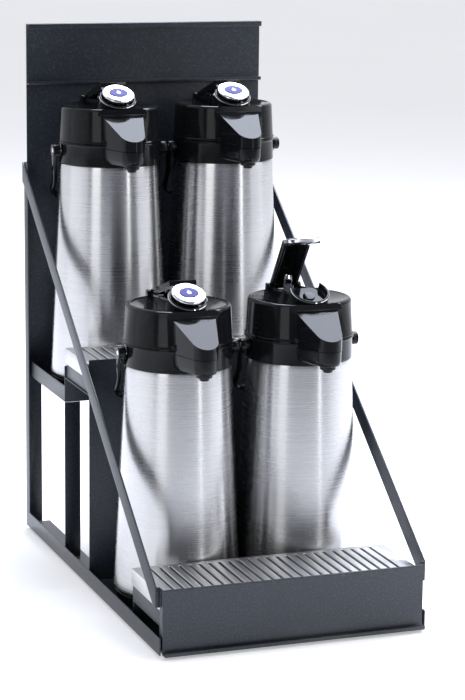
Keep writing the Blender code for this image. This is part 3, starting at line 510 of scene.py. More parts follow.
class Bench:
    """One mesh on the bench, which edit-mode operators shape from a primitive into a piece."""

    def __init__(self, name: str) -> None:
        """Takes the active object.

        Args:
            name: The piece's name.
        """
        self.piece = bpy.context.active_object
        self.piece.name = name
        self.piece.data.name = name
        bpy.ops.object.transform_apply(location=True, rotation=True, scale=True)
        self.edit().all()

    @classmethod
    def ring(
        cls, name: str, radius: float, height: float = 0.0, filled: bool = True, sides: int = SIDES
    ) -> Bench:
        """Starts from a circle about Z.

        Args:
            name: The piece's name.
            radius: The circle's radius.
            height: Its height.
            filled: Whether it is a disc, for a solid, or a bare ring, for a tube.
            sides: How many sides it has.

        Returns:
            The bench with the circle selected.
        """
        clear_selection()
        fill = "NGON" if filled else "NOTHING"
        place = (0, 0, height)
        bpy.ops.mesh.primitive_circle_add(vertices=sides, radius=radius, fill_type=fill, location=place)
        return cls(name)

    @classmethod
    def block(cls, name: str, low: Sequence[float], high: Sequence[float]) -> Bench:
        """Starts from a block.

        Args:
            name: The piece's name.
            low: Its lowest corner.
            high: Its highest corner.

        Returns:
            The bench with the block selected.
        """
        clear_selection()
        low, high = Vector(low), Vector(high)
        bpy.ops.mesh.primitive_cube_add(size=1, location=(low + high) / 2)
        bpy.context.active_object.scale = high - low
        return cls(name)

    @classmethod
    def copy_of(cls, node: str, name: str) -> Bench:
        """Starts from a merged copy of a CAD node.

        Args:
            node: The node.
            name: The piece's name.

        Returns:
            The bench with the whole copy selected and its flat faces joined.
        """
        clear_selection()
        made = bpy.data.objects.new(name, frame["nodes"][node].data.copy())
        bpy.context.scene.collection.objects.link(made)
        made.select_set(True)
        bpy.context.view_layer.objects.active = made
        bench = cls(name)
        bpy.ops.mesh.customdata_custom_splitnormals_clear()
        bpy.ops.mesh.remove_doubles(threshold=1e-5)
        bpy.ops.mesh.dissolve_limited(angle_limit=math.radians(1))
        return bench

    def edit(self) -> Bench:
        """Goes into edit mode on this piece."""
        if bpy.context.mode != "EDIT_MESH":
            clear_selection()
            self.piece.select_set(True)
            bpy.context.view_layer.objects.active = self.piece
            bpy.ops.object.mode_set(mode="EDIT")
        return self

    def all(self) -> Bench:
        """Selects the whole mesh."""
        bpy.ops.mesh.select_all(action="SELECT")
        return self

    def points(self, wanted: Callable[[Vector], bool]) -> Bench:
        """Selects points by their place.

        Args:
            wanted: Says whether a point at a place is wanted.

        Returns:
            The bench.
        """
        self.edit()
        bpy.ops.mesh.select_mode(type="VERT")
        bpy.ops.mesh.select_all(action="DESELECT")
        mesh = bmesh.from_edit_mesh(self.piece.data)
        for point in mesh.verts:
            point.select_set(wanted(point.co))
        mesh.select_flush(True)
        bmesh.update_edit_mesh(self.piece.data)
        return self

    def faces(self, wanted: Callable[[Vector, Vector], bool]) -> Bench:
        """Selects faces by their middle and normal.

        Args:
            wanted: Says whether a face with that middle and normal is wanted.

        Returns:
            The bench.
        """
        self.edit()
        bpy.ops.mesh.select_mode(type="FACE")
        bpy.ops.mesh.select_all(action="DESELECT")
        mesh = bmesh.from_edit_mesh(self.piece.data)
        for face in mesh.faces:
            face.select_set(wanted(face.calc_center_median(), face.normal))
        mesh.select_flush_mode()
        bmesh.update_edit_mesh(self.piece.data)
        return self

    def edges(self, wanted: Callable[[Vector, Vector], bool]) -> Bench:
        """Selects edges by their two ends.

        Args:
            wanted: Says whether an edge between those points is wanted.

        Returns:
            The bench.
        """
        self.edit()
        bpy.ops.mesh.select_mode(type="EDGE")
        bpy.ops.mesh.select_all(action="DESELECT")
        mesh = bmesh.from_edit_mesh(self.piece.data)
        for edge in mesh.edges:
            edge.select_set(wanted(edge.verts[0].co, edge.verts[1].co))
        mesh.select_flush_mode()
        bmesh.update_edit_mesh(self.piece.data)
        return self

    def extrude(self, by: Sequence[float]) -> Bench:
        """Extrudes what is selected."""
        bpy.ops.mesh.extrude_region_move(TRANSFORM_OT_translate={"value": tuple(by)})
        return self

    def move(self, by: Sequence[float]) -> Bench:
        """Moves what is selected."""
        bpy.ops.transform.translate(value=tuple(by))
        return self

    def resize(self, by: Sequence[float], about: Sequence[float] = (0, 0, 0)) -> Bench:
        """Resizes what is selected about a point."""
        bpy.ops.transform.resize(value=tuple(by), center_override=tuple(about))
        return self

    def turn(self, degrees: float, axis: str, about: Sequence[float] = (0, 0, 0)) -> Bench:
        """Turns what is selected about an axis through a point, by the right-hand rule."""
        bpy.ops.transform.rotate(value=-math.radians(degrees), orient_axis=axis, center_override=tuple(about))
        return self

    def turned(self, profile: Profile) -> Bench:
        """Extrudes the selected ring or disc along a profile about Z.

        Args:
            profile: (radius, height) points. The first one is where the ring is now.

        Returns:
            The bench with the last ring selected.
        """
        for (radius, height), (next_radius, next_height) in zip(profile, profile[1:]):
            self.extrude((0, 0, next_height - height))
            grow = next_radius / radius
            self.resize((grow, grow, 1))
        return self

    def swept(self, path: Sequence[Vector]) -> Bench:
        """Extrudes the selected end along a flat path, turning it about Z with the path.

        Args:
            path: Its points, at one height. The first one is where the end is now.

        Returns:
            The bench with the last end selected.
        """
        steps = [after - before for before, after in zip(path, path[1:])]
        headings = [math.degrees(math.atan2(step.y, step.x)) for step in steps]
        facing = headings[0]
        for index, step in enumerate(steps):
            self.extrude(step)
            following = headings[min(index + 1, len(headings) - 1)]
            bend = (following - headings[index] + 180) % 360 - 180
            wanted = headings[index] + bend / 2
            self.turn((wanted - facing + 180) % 360 - 180, "Z", path[index + 1])
            facing = wanted
        return self

    def inset(self, width: float) -> Bench:
        """Insets the selected faces."""
        bpy.ops.mesh.inset(thickness=width)
        return self

    def delete_faces(self) -> Bench:
        """Deletes the selected faces."""
        bpy.ops.mesh.delete(type="FACE")
        return self

    def bevel(self, width: float, segments: int = 3) -> Bench:
        """Bevels the selected edges."""
        bpy.ops.mesh.bevel(offset=width, segments=segments, affect="EDGES")
        return self

    def cut(self, point: Sequence[float], normal: Sequence[float]) -> Bench:
        """Cuts the whole mesh with a plane, drops the side that the normal points to, and closes the cut."""
        self.edit().all()
        bpy.ops.mesh.bisect(plane_co=tuple(point), plane_no=tuple(normal), use_fill=True, clear_outer=True)
        return self

    def modified(self, kind: str, **settings: object) -> Bench:
        """Adds a modifier and applies it.

        Args:
            kind: The modifier's type.
            **settings: Its settings.

        Returns:
            The bench.
        """
        bpy.ops.object.mode_set(mode="OBJECT")
        step = self.piece.modifiers.new(kind.lower(), kind)
        for name, value in settings.items():
            setattr(step, name, value)
        bpy.ops.object.modifier_apply(modifier=step.name)
        return self.edit().all()

    def softened(self, width: float, segments: int = 2, angle: float = 30) -> Bench:
        """Rounds every edge sharper than an angle."""
        return self.modified(
            "BEVEL", width=width, segments=segments, limit_method="ANGLE", angle_limit=math.radians(angle)
        )

    def carved(self, *cutters: bpy.types.Object) -> Bench:
        """Cuts other solids from this one and removes them."""
        for cutter in cutters:
            self.edit()
            self.modified("BOOLEAN", operation="DIFFERENCE", object=cutter, solver="EXACT")
            bpy.data.objects.remove(cutter, do_unlink=True)
        return self

    def done(self, smooth: float = 32) -> bpy.types.Object:
        """Merges doubles, points the faces outwards and shades by angle.

        Args:
            smooth: The sharpest edge that is shaded smooth, in degrees.

        Returns:
            The finished piece.
        """
        self.edit().all()
        bpy.ops.mesh.remove_doubles(threshold=WELD)
        bpy.ops.mesh.normals_make_consistent(inside=False)
        bpy.ops.object.mode_set(mode="OBJECT")
        bpy.ops.object.shade_smooth_by_angle(angle=math.radians(smooth))
        return self.piece


def joined(name: str, *pieces: bpy.types.Object) -> bpy.types.Object:
    """Joins pieces into one.

    Args:
        name: The result's name.
        *pieces: The pieces.

    Returns:
        The joined piece.
    """
    clear_selection()
    for piece in pieces:
        piece.select_set(True)
    bpy.context.view_layer.objects.active = pieces[0]
    bpy.ops.object.join()
    pieces[0].name = name
    pieces[0].data.name = name
    return pieces[0]


def moved_copy(piece: bpy.types.Object, name: str, matrix: Matrix) -> bpy.types.Object:
    """Copies a piece with its own mesh.

    Args:
        piece: The piece.
        name: The copy's name.
        matrix: Where the copy's mesh goes.

    Returns:
        The copy.
    """
    made = piece.copy()
    made.data = piece.data.copy()
    made.name = name
    made.data.name = name
    made.data.transform(matrix)
    bpy.context.scene.collection.objects.link(made)
    return made


@dataclass
class Fitter:
    """Dresses pieces and fits them to the frame."""

    materials: dict[Slot, bpy.types.Material]
    count: int = 0

    def fit(self, piece: bpy.types.Object, body: str, slot: Slot, *nodes: str) -> None:
        """Gives a piece its finish, lets it ride on a body and hides the nodes that it stands for.

        Args:
            piece: The piece.
            body: The body that it rides on.
            slot: Its material slot.
            *nodes: The CAD nodes that it replaces.
        """
        piece.data.materials.clear()
        piece.data.materials.append(self.materials[slot])
        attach(piece, body)
        slot not in (Slot.BADGE, Slot.BADGE_MARK)
        if nodes:
            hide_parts(*nodes)
        self.count += 1
        LOG.info("%s rides on %s, %s, %d faces", piece.name, body, slot.value, len(piece.data.polygons))

    def dress_node(self, node: str, slot: Slot) -> None:
        """Gives a CAD node that stays its finish."""
        mesh = frame["nodes"][node].data
        mesh.materials.clear()
        mesh.materials.append(self.materials[slot])
        LOG.info("%s keeps its CAD shape, %s", node, slot.value)


# Rack ---------------------------------------------------------------------------------------------
@dataclass
class SheetMetal:
    """The rack's folded and painted sheets, with their cut edges and bends rounded."""

    edge: float = 0.0006
    tucked: float = 0.0004
    lip_front: float = 0.0036
    lip_reach: float = 0.003
    lean: float = 0.0048
    sheets: tuple[str, ...] = (
        "base_pan", "back_panel", "header_sign_holder", "upper_shelf", "mid_leg_left", "mid_leg_right",
        "riser_panel", "front_fascia", "lower_tray_stand", "side_strap_left", "side_strap_right",
    )

    def slant(self, bench: Bench) -> None:
        """Leans the fascia's lip back so that its front catches the light from above.

        Args:
            bench: The bench with the fascia.
        """
        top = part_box("front_fascia")[1].z
        face = CAD_BOX[0].y + self.lip_front
        bench.points(lambda place: place.z > top - self.lip_reach and place.y < face + self.lip_reach)
        bench.move((0, self.lean, 0))

    def build(self, fitter: Fitter) -> None:
        """Makes every sheet.

        Args:
            fitter: What fits the pieces.
        """
        for node in self.sheets:
            bench = Bench.copy_of(node, f"{node}_coated")
            if node == "front_fascia":
                self.slant(bench)
            piece = bench.softened(self.edge).done()
            fitter.fit(piece, "rack", Slot.POWDER_COAT, node)
        for tier in ("lower", "upper"):
            node = f"{tier}_drip_pan"
            piece = Bench.copy_of(node, f"{node}_coated").softened(self.tucked).done()
            fitter.fit(piece, f"{tier}_pan", Slot.POWDER_COAT, node)


@dataclass
class Grille:
    """Slotted stainless grille: a skirted frame, and bars whose long edges are rolled down."""

    tier: str
    sheet: float = 0.0012
    pitch: float = 0.013
    slot: float = 0.0032
    end_margin: float = 0.008
    side_margin: float = 0.0204
    roll: float = 0.0013
    bar_height: float = 0.0032

    def frame_piece(self, low: Vector, high: Vector) -> bpy.types.Object:
        """Makes the frame around the bars.

        Args:
            low: The grille's lowest corner.
            high: Its highest corner.

        Returns:
            The frame.
        """
        middle = (low + high) / 2
        bench = Bench.block("grille_frame", low, high)
        bench.faces(lambda centre, normal: normal.z > 0.5).inset(self.end_margin)
        width = high.x - low.x
        shrink = (width - 2 * self.side_margin) / (width - 2 * self.end_margin)
        bench.resize((shrink, 1, 1), (middle.x, middle.y, high.z))
        bench.extrude((0, 0, -self.bar_height)).delete_faces()
        bench.faces(lambda centre, normal: normal.z < -0.5).delete_faces()
        bench.all().modified("SOLIDIFY", thickness=self.sheet, offset=-1)
        return bench.softened(self.sheet * 0.42).done()

    def bars(self, low: Vector, high: Vector) -> bpy.types.Object:
        """Makes the bars between the slots.

        Args:
            low: The grille's lowest corner.
            high: Its highest corner.

        Returns:
            All the bars as one piece.
        """
        middle = (low + high) / 2
        opening = high.x - low.x - 2 * self.side_margin
        count = round(opening / self.pitch)
        half = (self.pitch - self.slot) / 2
        start = (low.y + self.end_margin - self.sheet / 2, high.z - self.bar_height)
        end = (high.y - self.end_margin + self.sheet / 2, high.z)
        bench = Bench.block("grille_bar", (-half, *start), (half, *end))
        bench.edges(lambda one, other: min(one.z, other.z) > high.z - WELD and abs(one.x - other.x) < WELD)
        first = bench.bevel(self.roll, 4).done()
        places = [middle.x + (index - (count - 1) / 2) * self.pitch for index in range(count)]
        copies = [moved_copy(first, "grille_bar", Matrix.Translation((place, 0, 0))) for place in places]
        bpy.data.objects.remove(first, do_unlink=True)
        return joined("grille_bars", *copies)

    def build(self, fitter: Fitter) -> None:
        """Makes the grille.

        Args:
            fitter: What fits the pieces.
        """
        node = f"{self.tier}_drip_grille"
        low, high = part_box(node)
        plate = joined(f"{node}_steel", self.frame_piece(low, high), self.bars(low, high))
        fitter.fit(plate, f"{self.tier}_grille", Slot.GRILLE_STEEL, node)


@dataclass
class RackTrim:
    """Rubber feet and the screws that hold the legs' and riser's feet to the base."""

    screw_radius: float = 0.0034
    screw_rise: float = 0.0018
    sheet: float = 0.0018
    inset: float = 0.012
    from_edge: float = 0.007

    def foot(self, node: str) -> bpy.types.Object:
        """Makes a rubber foot in its node's place.

        Args:
            node: The foot's CAD node.

        Returns:
            The foot.
        """
        low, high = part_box(node)
        middle = (low + high) / 2
        radius = (high.x - low.x) / 2
        rounding = radius * 0.28
        profile = [(radius * 0.30, low.z + rounding * 0.5), (radius * 0.42, low.z)]
        profile += arc((radius - rounding - 0.0004, low.z + rounding), rounding, -90, 0, 5)
        profile += [(radius, high.z)]
        bench = Bench.ring(f"{node}_rubber", profile[0][0], profile[0][1], sides=32).turned(profile)
        bench.all().move((middle.x, middle.y, 0))
        return bench.done()

    def screw(self, name: str, place: Vector) -> bpy.types.Object:
        """Makes a pan-head screw with a cross slot, upright at a place.

        Args:
            name: Its name.
            place: The middle of its head's underside.

        Returns:
            The screw.
        """
        radius, rise = self.screw_radius, self.screw_rise
        profile = [(radius * 0.96, 0.0), (radius, rise * 0.25)]
        profile += arc((radius - rise * 0.7, rise * 0.3), rise * 0.7, 0, 75, 4)
        profile += [(radius * 0.22, rise)]
        bench = Bench.ring(name, profile[0][0], 0.0, sides=24).turned(profile)
        reach, half = radius * 0.6, radius * 0.12
        for turned in (0, 90):
            slot = Bench.block("screw_slot", (-reach, -half, rise * 0.45), (reach, half, rise * 2))
            cutter = slot.turn(turned, "Z").done()
            bench.carved(cutter)
        bench.edit().all().move(place)
        return bench.done()

    def build(self, fitter: Fitter) -> None:
        """Makes the feet and screws.

        Args:
            fitter: What fits the pieces.
        """
        for end in ("front", "rear"):
            for hand in ("left", "right"):
                node = f"foot_{end}_{hand}"
                fitter.fit(self.foot(node), "rack", Slot.RUBBER, node)
        riser_low, riser_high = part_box("riser_panel")
        places = {}
        for side, hand in ((-1, "left"), (1, "right")):
            leg_low, leg_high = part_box(f"mid_leg_{hand}")
            height = riser_low.z + self.sheet
            across = side * (riser_high.x - self.inset)
            places[f"riser_screw_{hand}"] = Vector((across, riser_high.y - self.from_edge, height))
            across = (leg_low.x + leg_high.x) / 2
            places[f"leg_screw_{hand}"] = Vector((across, leg_high.y - self.from_edge, height))
        for name, place in places.items():
            fitter.fit(self.screw(name, place), "rack", Slot.CHROME)


# Airpot -------------------------------------------------------------------------------------------
@dataclass
class PotFrame:
    """Where an airpot stands, and the places on it that its pieces share, from its own standing point."""

    stand: Vector
    foot_radius: float
    ring_top: float
    shell_top: float
    collar_radius: float
    collar_top: float
    lid_hinge: Vector
    lever_hinge: Vector
    bail_pivot: Vector
    rod_top: float
    head_height: float = 0.0468
    gap: float = 0.0003

    @classmethod
    def of(cls, pot: str) -> PotFrame:
        """Reads a pot's places from the frame.

        Args:
            pot: The pot's prefix.

        Returns:
            Its places.
        """
        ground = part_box(f"{pot}_base_ring")[0].z
        shell_low, shell_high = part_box(f"{pot}_body_shell")
        collar_low, collar_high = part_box(f"{pot}_collar")
        middle = (shell_low + shell_high) / 2
        stand = Vector((middle.x, middle.y, ground))
        hinges = [joint for joint in frame["joints"] if "pos_m" in joint]
        pivots = {joint["name"]: Vector(joint["pos_m"]) - stand for joint in hinges}
        return cls(
            stand=stand,
            foot_radius=(shell_high.x - shell_low.x) / 2,
            ring_top=shell_low.z - stand.z - cls.gap,
            shell_top=shell_high.z - stand.z,
            collar_radius=stand.y - collar_low.y,
            collar_top=collar_high.z - stand.z,
            lid_hinge=pivots[f"{pot}_lid_hinge"],
            lever_hinge=pivots[f"{pot}_lever_hinge"],
            bail_pivot=pivots[f"{pot}_bail_swing"],
            rod_top=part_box(f"{pot}_pump_plunger")[1].z - stand.z,
        )

    @property
    def head_bottom(self) -> float:
        """Underside of the pump head."""
        return self.collar_top + self.gap

    @property
    def rim(self) -> float:
        """Top of the pump head."""
        return self.head_bottom + self.head_height


@dataclass
class PotBody:
    """What stands still in a pot: its steel shell, foot cup, collar and flask."""

    at: PotFrame
    shell_wall: float = 0.001
    shell_top_radius: float = 0.0687
    foot_round: float = 0.005
    ring_wall: float = 0.004
    mouth: float = 0.030
    ledge: float = 0.006
    spigot: float = 0.006
    bead: float = 0.0014
    bead_height: float = 0.0040

    def shell(self) -> bpy.types.Object:
        """Makes the tapered shell, rolled in at its top and rounded at its foot."""
        at, wall, turn = self.at, self.shell_wall, self.foot_round
        low, top = at.ring_top + at.gap, at.shell_top
        foot, head = at.foot_radius, self.shell_top_radius
        outer = arc((foot - turn, low + turn), turn, -90, 0, 8)
        outer += [(head + (foot - head) * 0.02, top - 0.006)]
        outer += arc((head - wall, top - wall), wall, 0, 90, 3)
        inner = [(head - 1.8 * wall, top - wall), (foot - turn * 0.6 - wall, low + turn)]
        inner += [(foot - turn - wall, low + wall), (foot - turn - wall, low)]
        profile = outer + inner + outer[:1]
        bench = Bench.ring("shell", profile[0][0], profile[0][1], filled=False, sides=128)
        return bench.turned(profile).done()

    def foot_cup(self) -> bpy.types.Object:
        """Makes the black cup that the shell stands in, with a shadow groove under the shell."""
        at = self.at
        top, radius = at.ring_top, at.foot_radius
        spigot = radius - self.foot_round - self.shell_wall - at.gap
        profile = [(radius * 0.86, 0.0016), (radius * 0.88, 0.0)]
        profile += arc((radius - 0.0030, 0.0022), 0.0022, -90, -10, 4)
        profile += [(radius - 0.0004, top * 0.45), (radius - 0.0004, top - 0.0022)]
        profile += arc((radius - 0.0014, top - 0.0012), 0.0010, 0, 90, 3)
        within = spigot - self.ring_wall
        profile += [(spigot, top), (spigot, top + self.ring_wall), (within, top + self.ring_wall)]
        profile += [(within, top), (spigot * 0.2, top)]
        return Bench.ring("foot_cup", profile[0][0], profile[0][1]).turned(profile).done()

    def collar(self) -> bpy.types.Object:
        """Makes the collar with a bead at its top, its hinge lugs and its bore."""
        at = self.at
        radius, top = at.collar_radius, at.collar_top
        bottom = at.shell_top + at.gap
        spigot = self.shell_top_radius - self.shell_wall - 3 * at.gap
        bead_middle = top - self.bead_height / 2 - 0.0006
        profile = [(spigot, bottom - self.spigot), (spigot, bottom), (radius - 0.0006, bottom)]
        profile += [(radius, bottom + 0.0006), (radius - 0.0002, bead_middle - self.bead_height)]
        profile += [(radius, bead_middle - self.bead_height / 2)]
        profile += arc((radius - 0.0002, bead_middle), self.bead, -80, 80, 6)
        profile += [(radius - 0.0004, top - 0.0002), (radius - 0.0012, top), (self.mouth + 0.0012, top)]
        profile += arc((self.mouth + 0.0012, top - 0.0012), 0.0012, 90, 180, 3)
        within = spigot - self.ring_wall
        profile += [(self.mouth, bottom), (self.mouth + self.ledge, bottom), (within, bottom)]
        profile += [(within, bottom - self.spigot), (spigot, bottom - self.spigot)]
        ring = Bench.ring("collar_ring", spigot, bottom - self.spigot, filled=False).turned(profile).done()
        lugs = [self.hinge_lug(side) for side in (-1, 1)]
        return joined("collar", ring, *lugs)

    def hinge_lug(self, side: int) -> bpy.types.Object:
        """Makes one lug of the lid hinge.

        Args:
            side: -1 on the left and 1 on the right.

        Returns:
            The lug.
        """
        at = self.at
        near, width, barrel = 0.0083, 0.005, 0.0040
        root = at.collar_radius - 0.005
        low = (min(side * near, side * (near + width)), root, at.lid_hinge.z - 0.0092)
        high = (max(side * near, side * (near + width)), at.lid_hinge.y + barrel, at.collar_top - at.gap)
        bench = Bench.block("hinge_lug", low, high)
        bench.points(lambda place: place.y > root + 0.003 and place.z < at.lid_hinge.z)
        bench.move((0, -0.0042, 0.0036))
        return bench.softened(0.0012, 3).done()

    def flask(self) -> bpy.types.Object:
        """Makes the flask with its narrow neck and rounded floor."""
        at, wall = self.at, 0.0012
        radius = self.shell_top_radius - self.shell_wall - 0.005
        neck = self.mouth + 0.004
        floor, top = at.ring_top + self.ring_wall, at.shell_top
        turn = 0.012
        outer = [(0.004, floor)] + arc((radius - turn, floor + turn), turn, -90, 0, 6)
        outer += [(radius, top - 0.034)] + arc((radius - 0.008, top - 0.034), 0.008, 15, 75, 4)
        outer += [(neck + 0.002, top - 0.012), (neck, top - 0.009), (neck, top)]
        inner = [(neck - wall, top), (neck - wall, top - 0.010), (radius - 0.010, top - 0.028)]
        inner += [(radius - wall, top - 0.036), (radius - wall, floor + turn)]
        inner += [(radius - turn, floor + wall), (0.004, floor + wall)]
        profile = outer + inner
        return Bench.ring("flask", profile[0][0], profile[0][1], sides=64).turned(profile).done()

    def build(self) -> dict[str, tuple[bpy.types.Object, str, Slot, tuple[str, ...]]]:
        """Makes the pieces.

        Returns:
            Each piece with its body, slot and the nodes that it stands for.
        """
        return {
            "shell": (self.shell(), "pot", Slot.BRUSHED_STEEL, ("body_shell",)),
            "foot_cup": (self.foot_cup(), "pot", Slot.BLACK_PLASTIC, ("base_ring",)),
            "collar_moulding": (self.collar(), "pot", Slot.BLACK_PLASTIC, ("collar",)),
            "flask": (self.flask(), "pot", Slot.LINER_STEEL, ("vacuum_liner",)),
            "bail_studs": (self.studs(), "pot", Slot.CHROME, ()),
        }

    def studs(self) -> bpy.types.Object:
        """Makes the bright studs that the bail handle turns on."""
        at = self.at
        reach = at.collar_radius - 0.002
        end = at.collar_radius + 0.0116
        profile = [(0.0034, reach), (0.0034, end - 0.0008)] + arc((0.0026, end - 0.0008), 0.0008, 0, 90, 3)
        profile += [(0.0008, end)]
        studs = []
        for side in (-1, 1):
            bench = Bench.ring("bail_stud", profile[0][0], profile[0][1], sides=32).turned(profile)
            bench.all().turn(side * 90, "Y").move((0, 0, at.bail_pivot.z))
            studs.append(bench.done())
        return joined("bail_studs", *studs)


@dataclass
class BailHandle:
    """Carrying handle: a round bar with an eye on each end, hanging behind the pot."""

    at: PotFrame
    bar: float = 0.0050
    bow_half: float = 0.063
    length: float = 0.110
    corner: float = 0.024
    hang: float = 43.0
    eye: float = 0.0085
    eye_width: float = 0.0098

    def build(self) -> dict[str, tuple[bpy.types.Object, str, Slot, tuple[str, ...]]]:
        """Makes the handle, flat, and then hangs it.

        Returns:
            The piece with its body, slot and the node that it stands for.
        """
        pivot = self.at.collar_radius + 0.0067
        straight = self.length - self.corner
        steps = 14
        half = []
        for step in range(steps + 1):
            drawn_in = (pivot - self.bow_half) * math.sin(math.pi / 2 * step / steps) ** 2
            half.append(Vector((pivot - drawn_in, straight * step / steps, 0)))
        bend = arc((self.bow_half - self.corner, straight), self.corner, 0, 90, 10)[1:]
        half += [Vector((x, y, 0)) for x, y in bend]
        path = half + [Vector((-place.x, place.y, 0)) for place in reversed(half)]
        bench = Bench.ring("bail_bar", self.bar, sides=20)
        bench.resize((0.70, 1.0, 1)).turn(-90, "X").move(path[0])
        bar = bench.swept(path).done()
        eyes = []
        for side in (-1, 1):
            rounding = 0.0012
            near, far = pivot - self.eye_width / 2, pivot + self.eye_width / 2
            face = self.eye - rounding
            profile = [(face, near)] + arc((face, near + rounding), rounding, -90, 0, 4)[1:]
            profile += arc((face, far - rounding), rounding, 0, 90, 4)
            profile += [(0.0046, far), (0.0042, far - 0.0008), (0.0010, far - 0.0008)]
            eye = Bench.ring("bail_eye", profile[0][0], profile[0][1], sides=40).turned(profile)
            eye.all().turn(side * 90, "Y")
            eyes.append(eye.done())
        handle = joined("bail", bar, *eyes)
        matrix = Matrix.Translation(self.at.bail_pivot) @ Matrix.Rotation(-math.radians(self.hang), 4, "X")
        handle.data.transform(matrix)
        return {"bail": (handle, "bail", Slot.BLACK_PLASTIC, ("bail_handle",))}


@dataclass
class PumpHead:
    """Glossy pump head with its dished top, sloped shield, beak, nozzle, cap cup and hinge ears."""

    at: PotFrame
    foot: float = 0.0692
    top: float = 0.0672
    shoulder: float = 0.0042
    flange: float = 0.0708
    root: float = 0.058
    root_half: float = 0.030
    root_drop: float = 0.0085
    nose: float = 0.0175
    reach: float = 0.117
    tip_drop: float = 0.038
    seam_drop: float = 0.0515
    depth: float = 0.072
    cap_tilt: float = 27.0
    cap_reach: float = 0.040
    cap_rise: float = 0.020
    cup: float = 0.0245
    crown: float = 0.0165
    dish: float = 0.0036
    lever_half: float = 0.0186
    ear_width: float = 0.005
    barrel: float = 0.0042

    @property
    def slope(self) -> float:
        """Fall of the shield for each metre forwards."""
        return (self.tip_drop - self.root_drop) / (self.reach - self.root)

    def cap_place(self) -> Matrix:
        """Turns and moves what is modelled level about Z to the cap's tilted place."""
        middle = Vector((0, -self.cap_reach, self.at.rim + self.cap_rise))
        return Matrix.Translation(middle) @ Matrix.Rotation(math.radians(self.cap_tilt), 4, "X")

    def dome(self) -> bpy.types.Object:
        """Makes the hollow head with its foot flange, crisp rim and dished top, cut flat over the beak."""
        rim, low = self.at.rim, self.at.head_bottom
        wall = 0.0030
        crown = rim - self.crown
        profile = [(0.010, crown), (self.root - 0.004, crown), (self.root - 0.002, crown - 0.001)]
        profile += [(self.foot - wall, low + 0.012), (self.foot - wall, low), (self.flange - 0.0008, low)]
        profile += arc((self.flange - 0.0008, low + 0.0008), 0.0008, -60, 60, 3)
        profile += [(self.foot + 0.0004, low + 0.0024), (self.foot, low + 0.0034)]
        profile += [(self.top, rim - self.shoulder)]
        profile += arc((self.top - self.shoulder, rim - self.shoulder), self.shoulder, 12, 90, 6)
        edge = self.top - self.shoulder - 0.0012
        profile += [(edge, rim), (edge - 0.0005, rim - 0.0003)]
        for step in range(1, 9):
            inward = edge - 0.0005 - (edge - 0.030) * step / 8
            profile.append((inward, rim - 0.0003 - self.dish * math.sin(math.pi / 2 * step / 8)))
        profile += [(0.004, rim - 0.0003 - self.dish)]
        bench = Bench.ring("dome", profile[0][0], profile[0][1], sides=128).turned(profile)
        bench.done()
        half = self.top
        notch = Bench.block("notch", (-half, -0.090, rim - self.root_drop), (half, -self.root, rim + 0.01))
        fall = self.slope * (0.090 - self.root)
        notch.points(lambda place: place.y < -0.08 and place.z < rim).move((0, 0, -fall))
        return bench.edit().carved(notch.done()).done(28)

    def beak_plan(self, name: str, inset: float, root: float, root_half: float, top: float) -> Bench:
        """Starts a beak half: a disc at its nose, whose rear part is drawn back to the root.

        Args:
            name: The piece's name.
            inset: How far it lies inside the beak's outline.
            root: How far in front of the axis it starts.
            root_half: Its half width there.
            top: Its height.

        Returns:
            The bench with the flat outline selected.
        """
        centre = -(self.reach - self.nose)
        nose = self.nose - inset
        bench = Bench.ring(name, nose, top, sides=96)
        bench.move((0, centre, 0))
        behind = centre - nose * math.sin(math.radians(15.9))
        bench.points(lambda place: place.y > behind)
        bench.resize((root_half / nose, 0, 1), (0, centre, top))
        bench.move((0, -root - centre, 0))
        return bench.all()

    def shield(self) -> bpy.types.Object:
        """Makes the beak's upper half with its sloped shield."""
        rim = self.at.rim
        bench = self.beak_plan("shield", 0.0, self.root, self.root_half, rim)
        bench.extrude((0, 0, -self.seam_drop))
        bench.cut((0, -self.root, rim - self.root_drop), (0, -self.slope, 1))
        bench.all()
        bpy.ops.mesh.normals_make_consistent(inside=False)
        return bench.softened(0.0011, 4, 35).done(40)

    def bead(self) -> bpy.types.Object:
        """Makes the thin bead along the shield's root, under the flat front of the head."""
        half, low = self.root_half + 0.002, self.at.rim - self.root_drop
        lowest, highest = (-half, -self.root - 0.0016, low - 0.0014), (half, -self.root + 0.001, low + 0.0009)
        return Bench.block("bead", lowest, highest).softened(0.0007, 3).done()

    def skirt(self) -> bpy.types.Object:
        """Makes the beak's lower half, drawn in downwards with a rounded underside."""
        rim = self.at.rim
        root = self.at.collar_radius - 0.006
        top = rim - self.seam_drop - 0.0007
        bench = self.beak_plan("skirt", 0.0005, root, 0.0285, top)
        bottom = rim - self.depth
        middle = (0, -(self.reach - self.nose), 0)
        bench.extrude((0, 0, bottom + 0.0075 - top)).resize((0.985, 0.99, 1), middle)
        for fall, share in ((0.0035, 0.965), (0.0022, 0.94), (0.0012, 0.90), (0.0006, 0.84)):
            bench.extrude((0, 0, -fall)).resize((share, share, 1), middle)
        bench.all()
        bpy.ops.mesh.normals_make_consistent(inside=False)
        return bench.softened(0.0005, 2, 50).done(40)

    def nozzle(self) -> bpy.types.Object:
        """Makes the stepped nozzle with its bore."""
        base = self.at.rim - self.depth
        profile = [(0.0085, base + 0.003), (0.0102, base + 0.001), (0.0102, base - 0.0034)]
        profile += arc((0.0094, base - 0.0034), 0.0008, 0, -90, 3)[1:]
        profile += [(0.0064, base - 0.0042), (0.0060, base - 0.0076)]
        profile += arc((0.0054, base - 0.0074), 0.0006, 0, -90, 3)
        profile += [(0.0042, base - 0.0080), (0.0038, base - 0.0050), (0.0008, base - 0.0050)]
        bench = Bench.ring("nozzle", profile[0][0], profile[0][1], sides=48).turned(profile)
        bench.all().move((0, -0.100, 0))
        return bench.done()

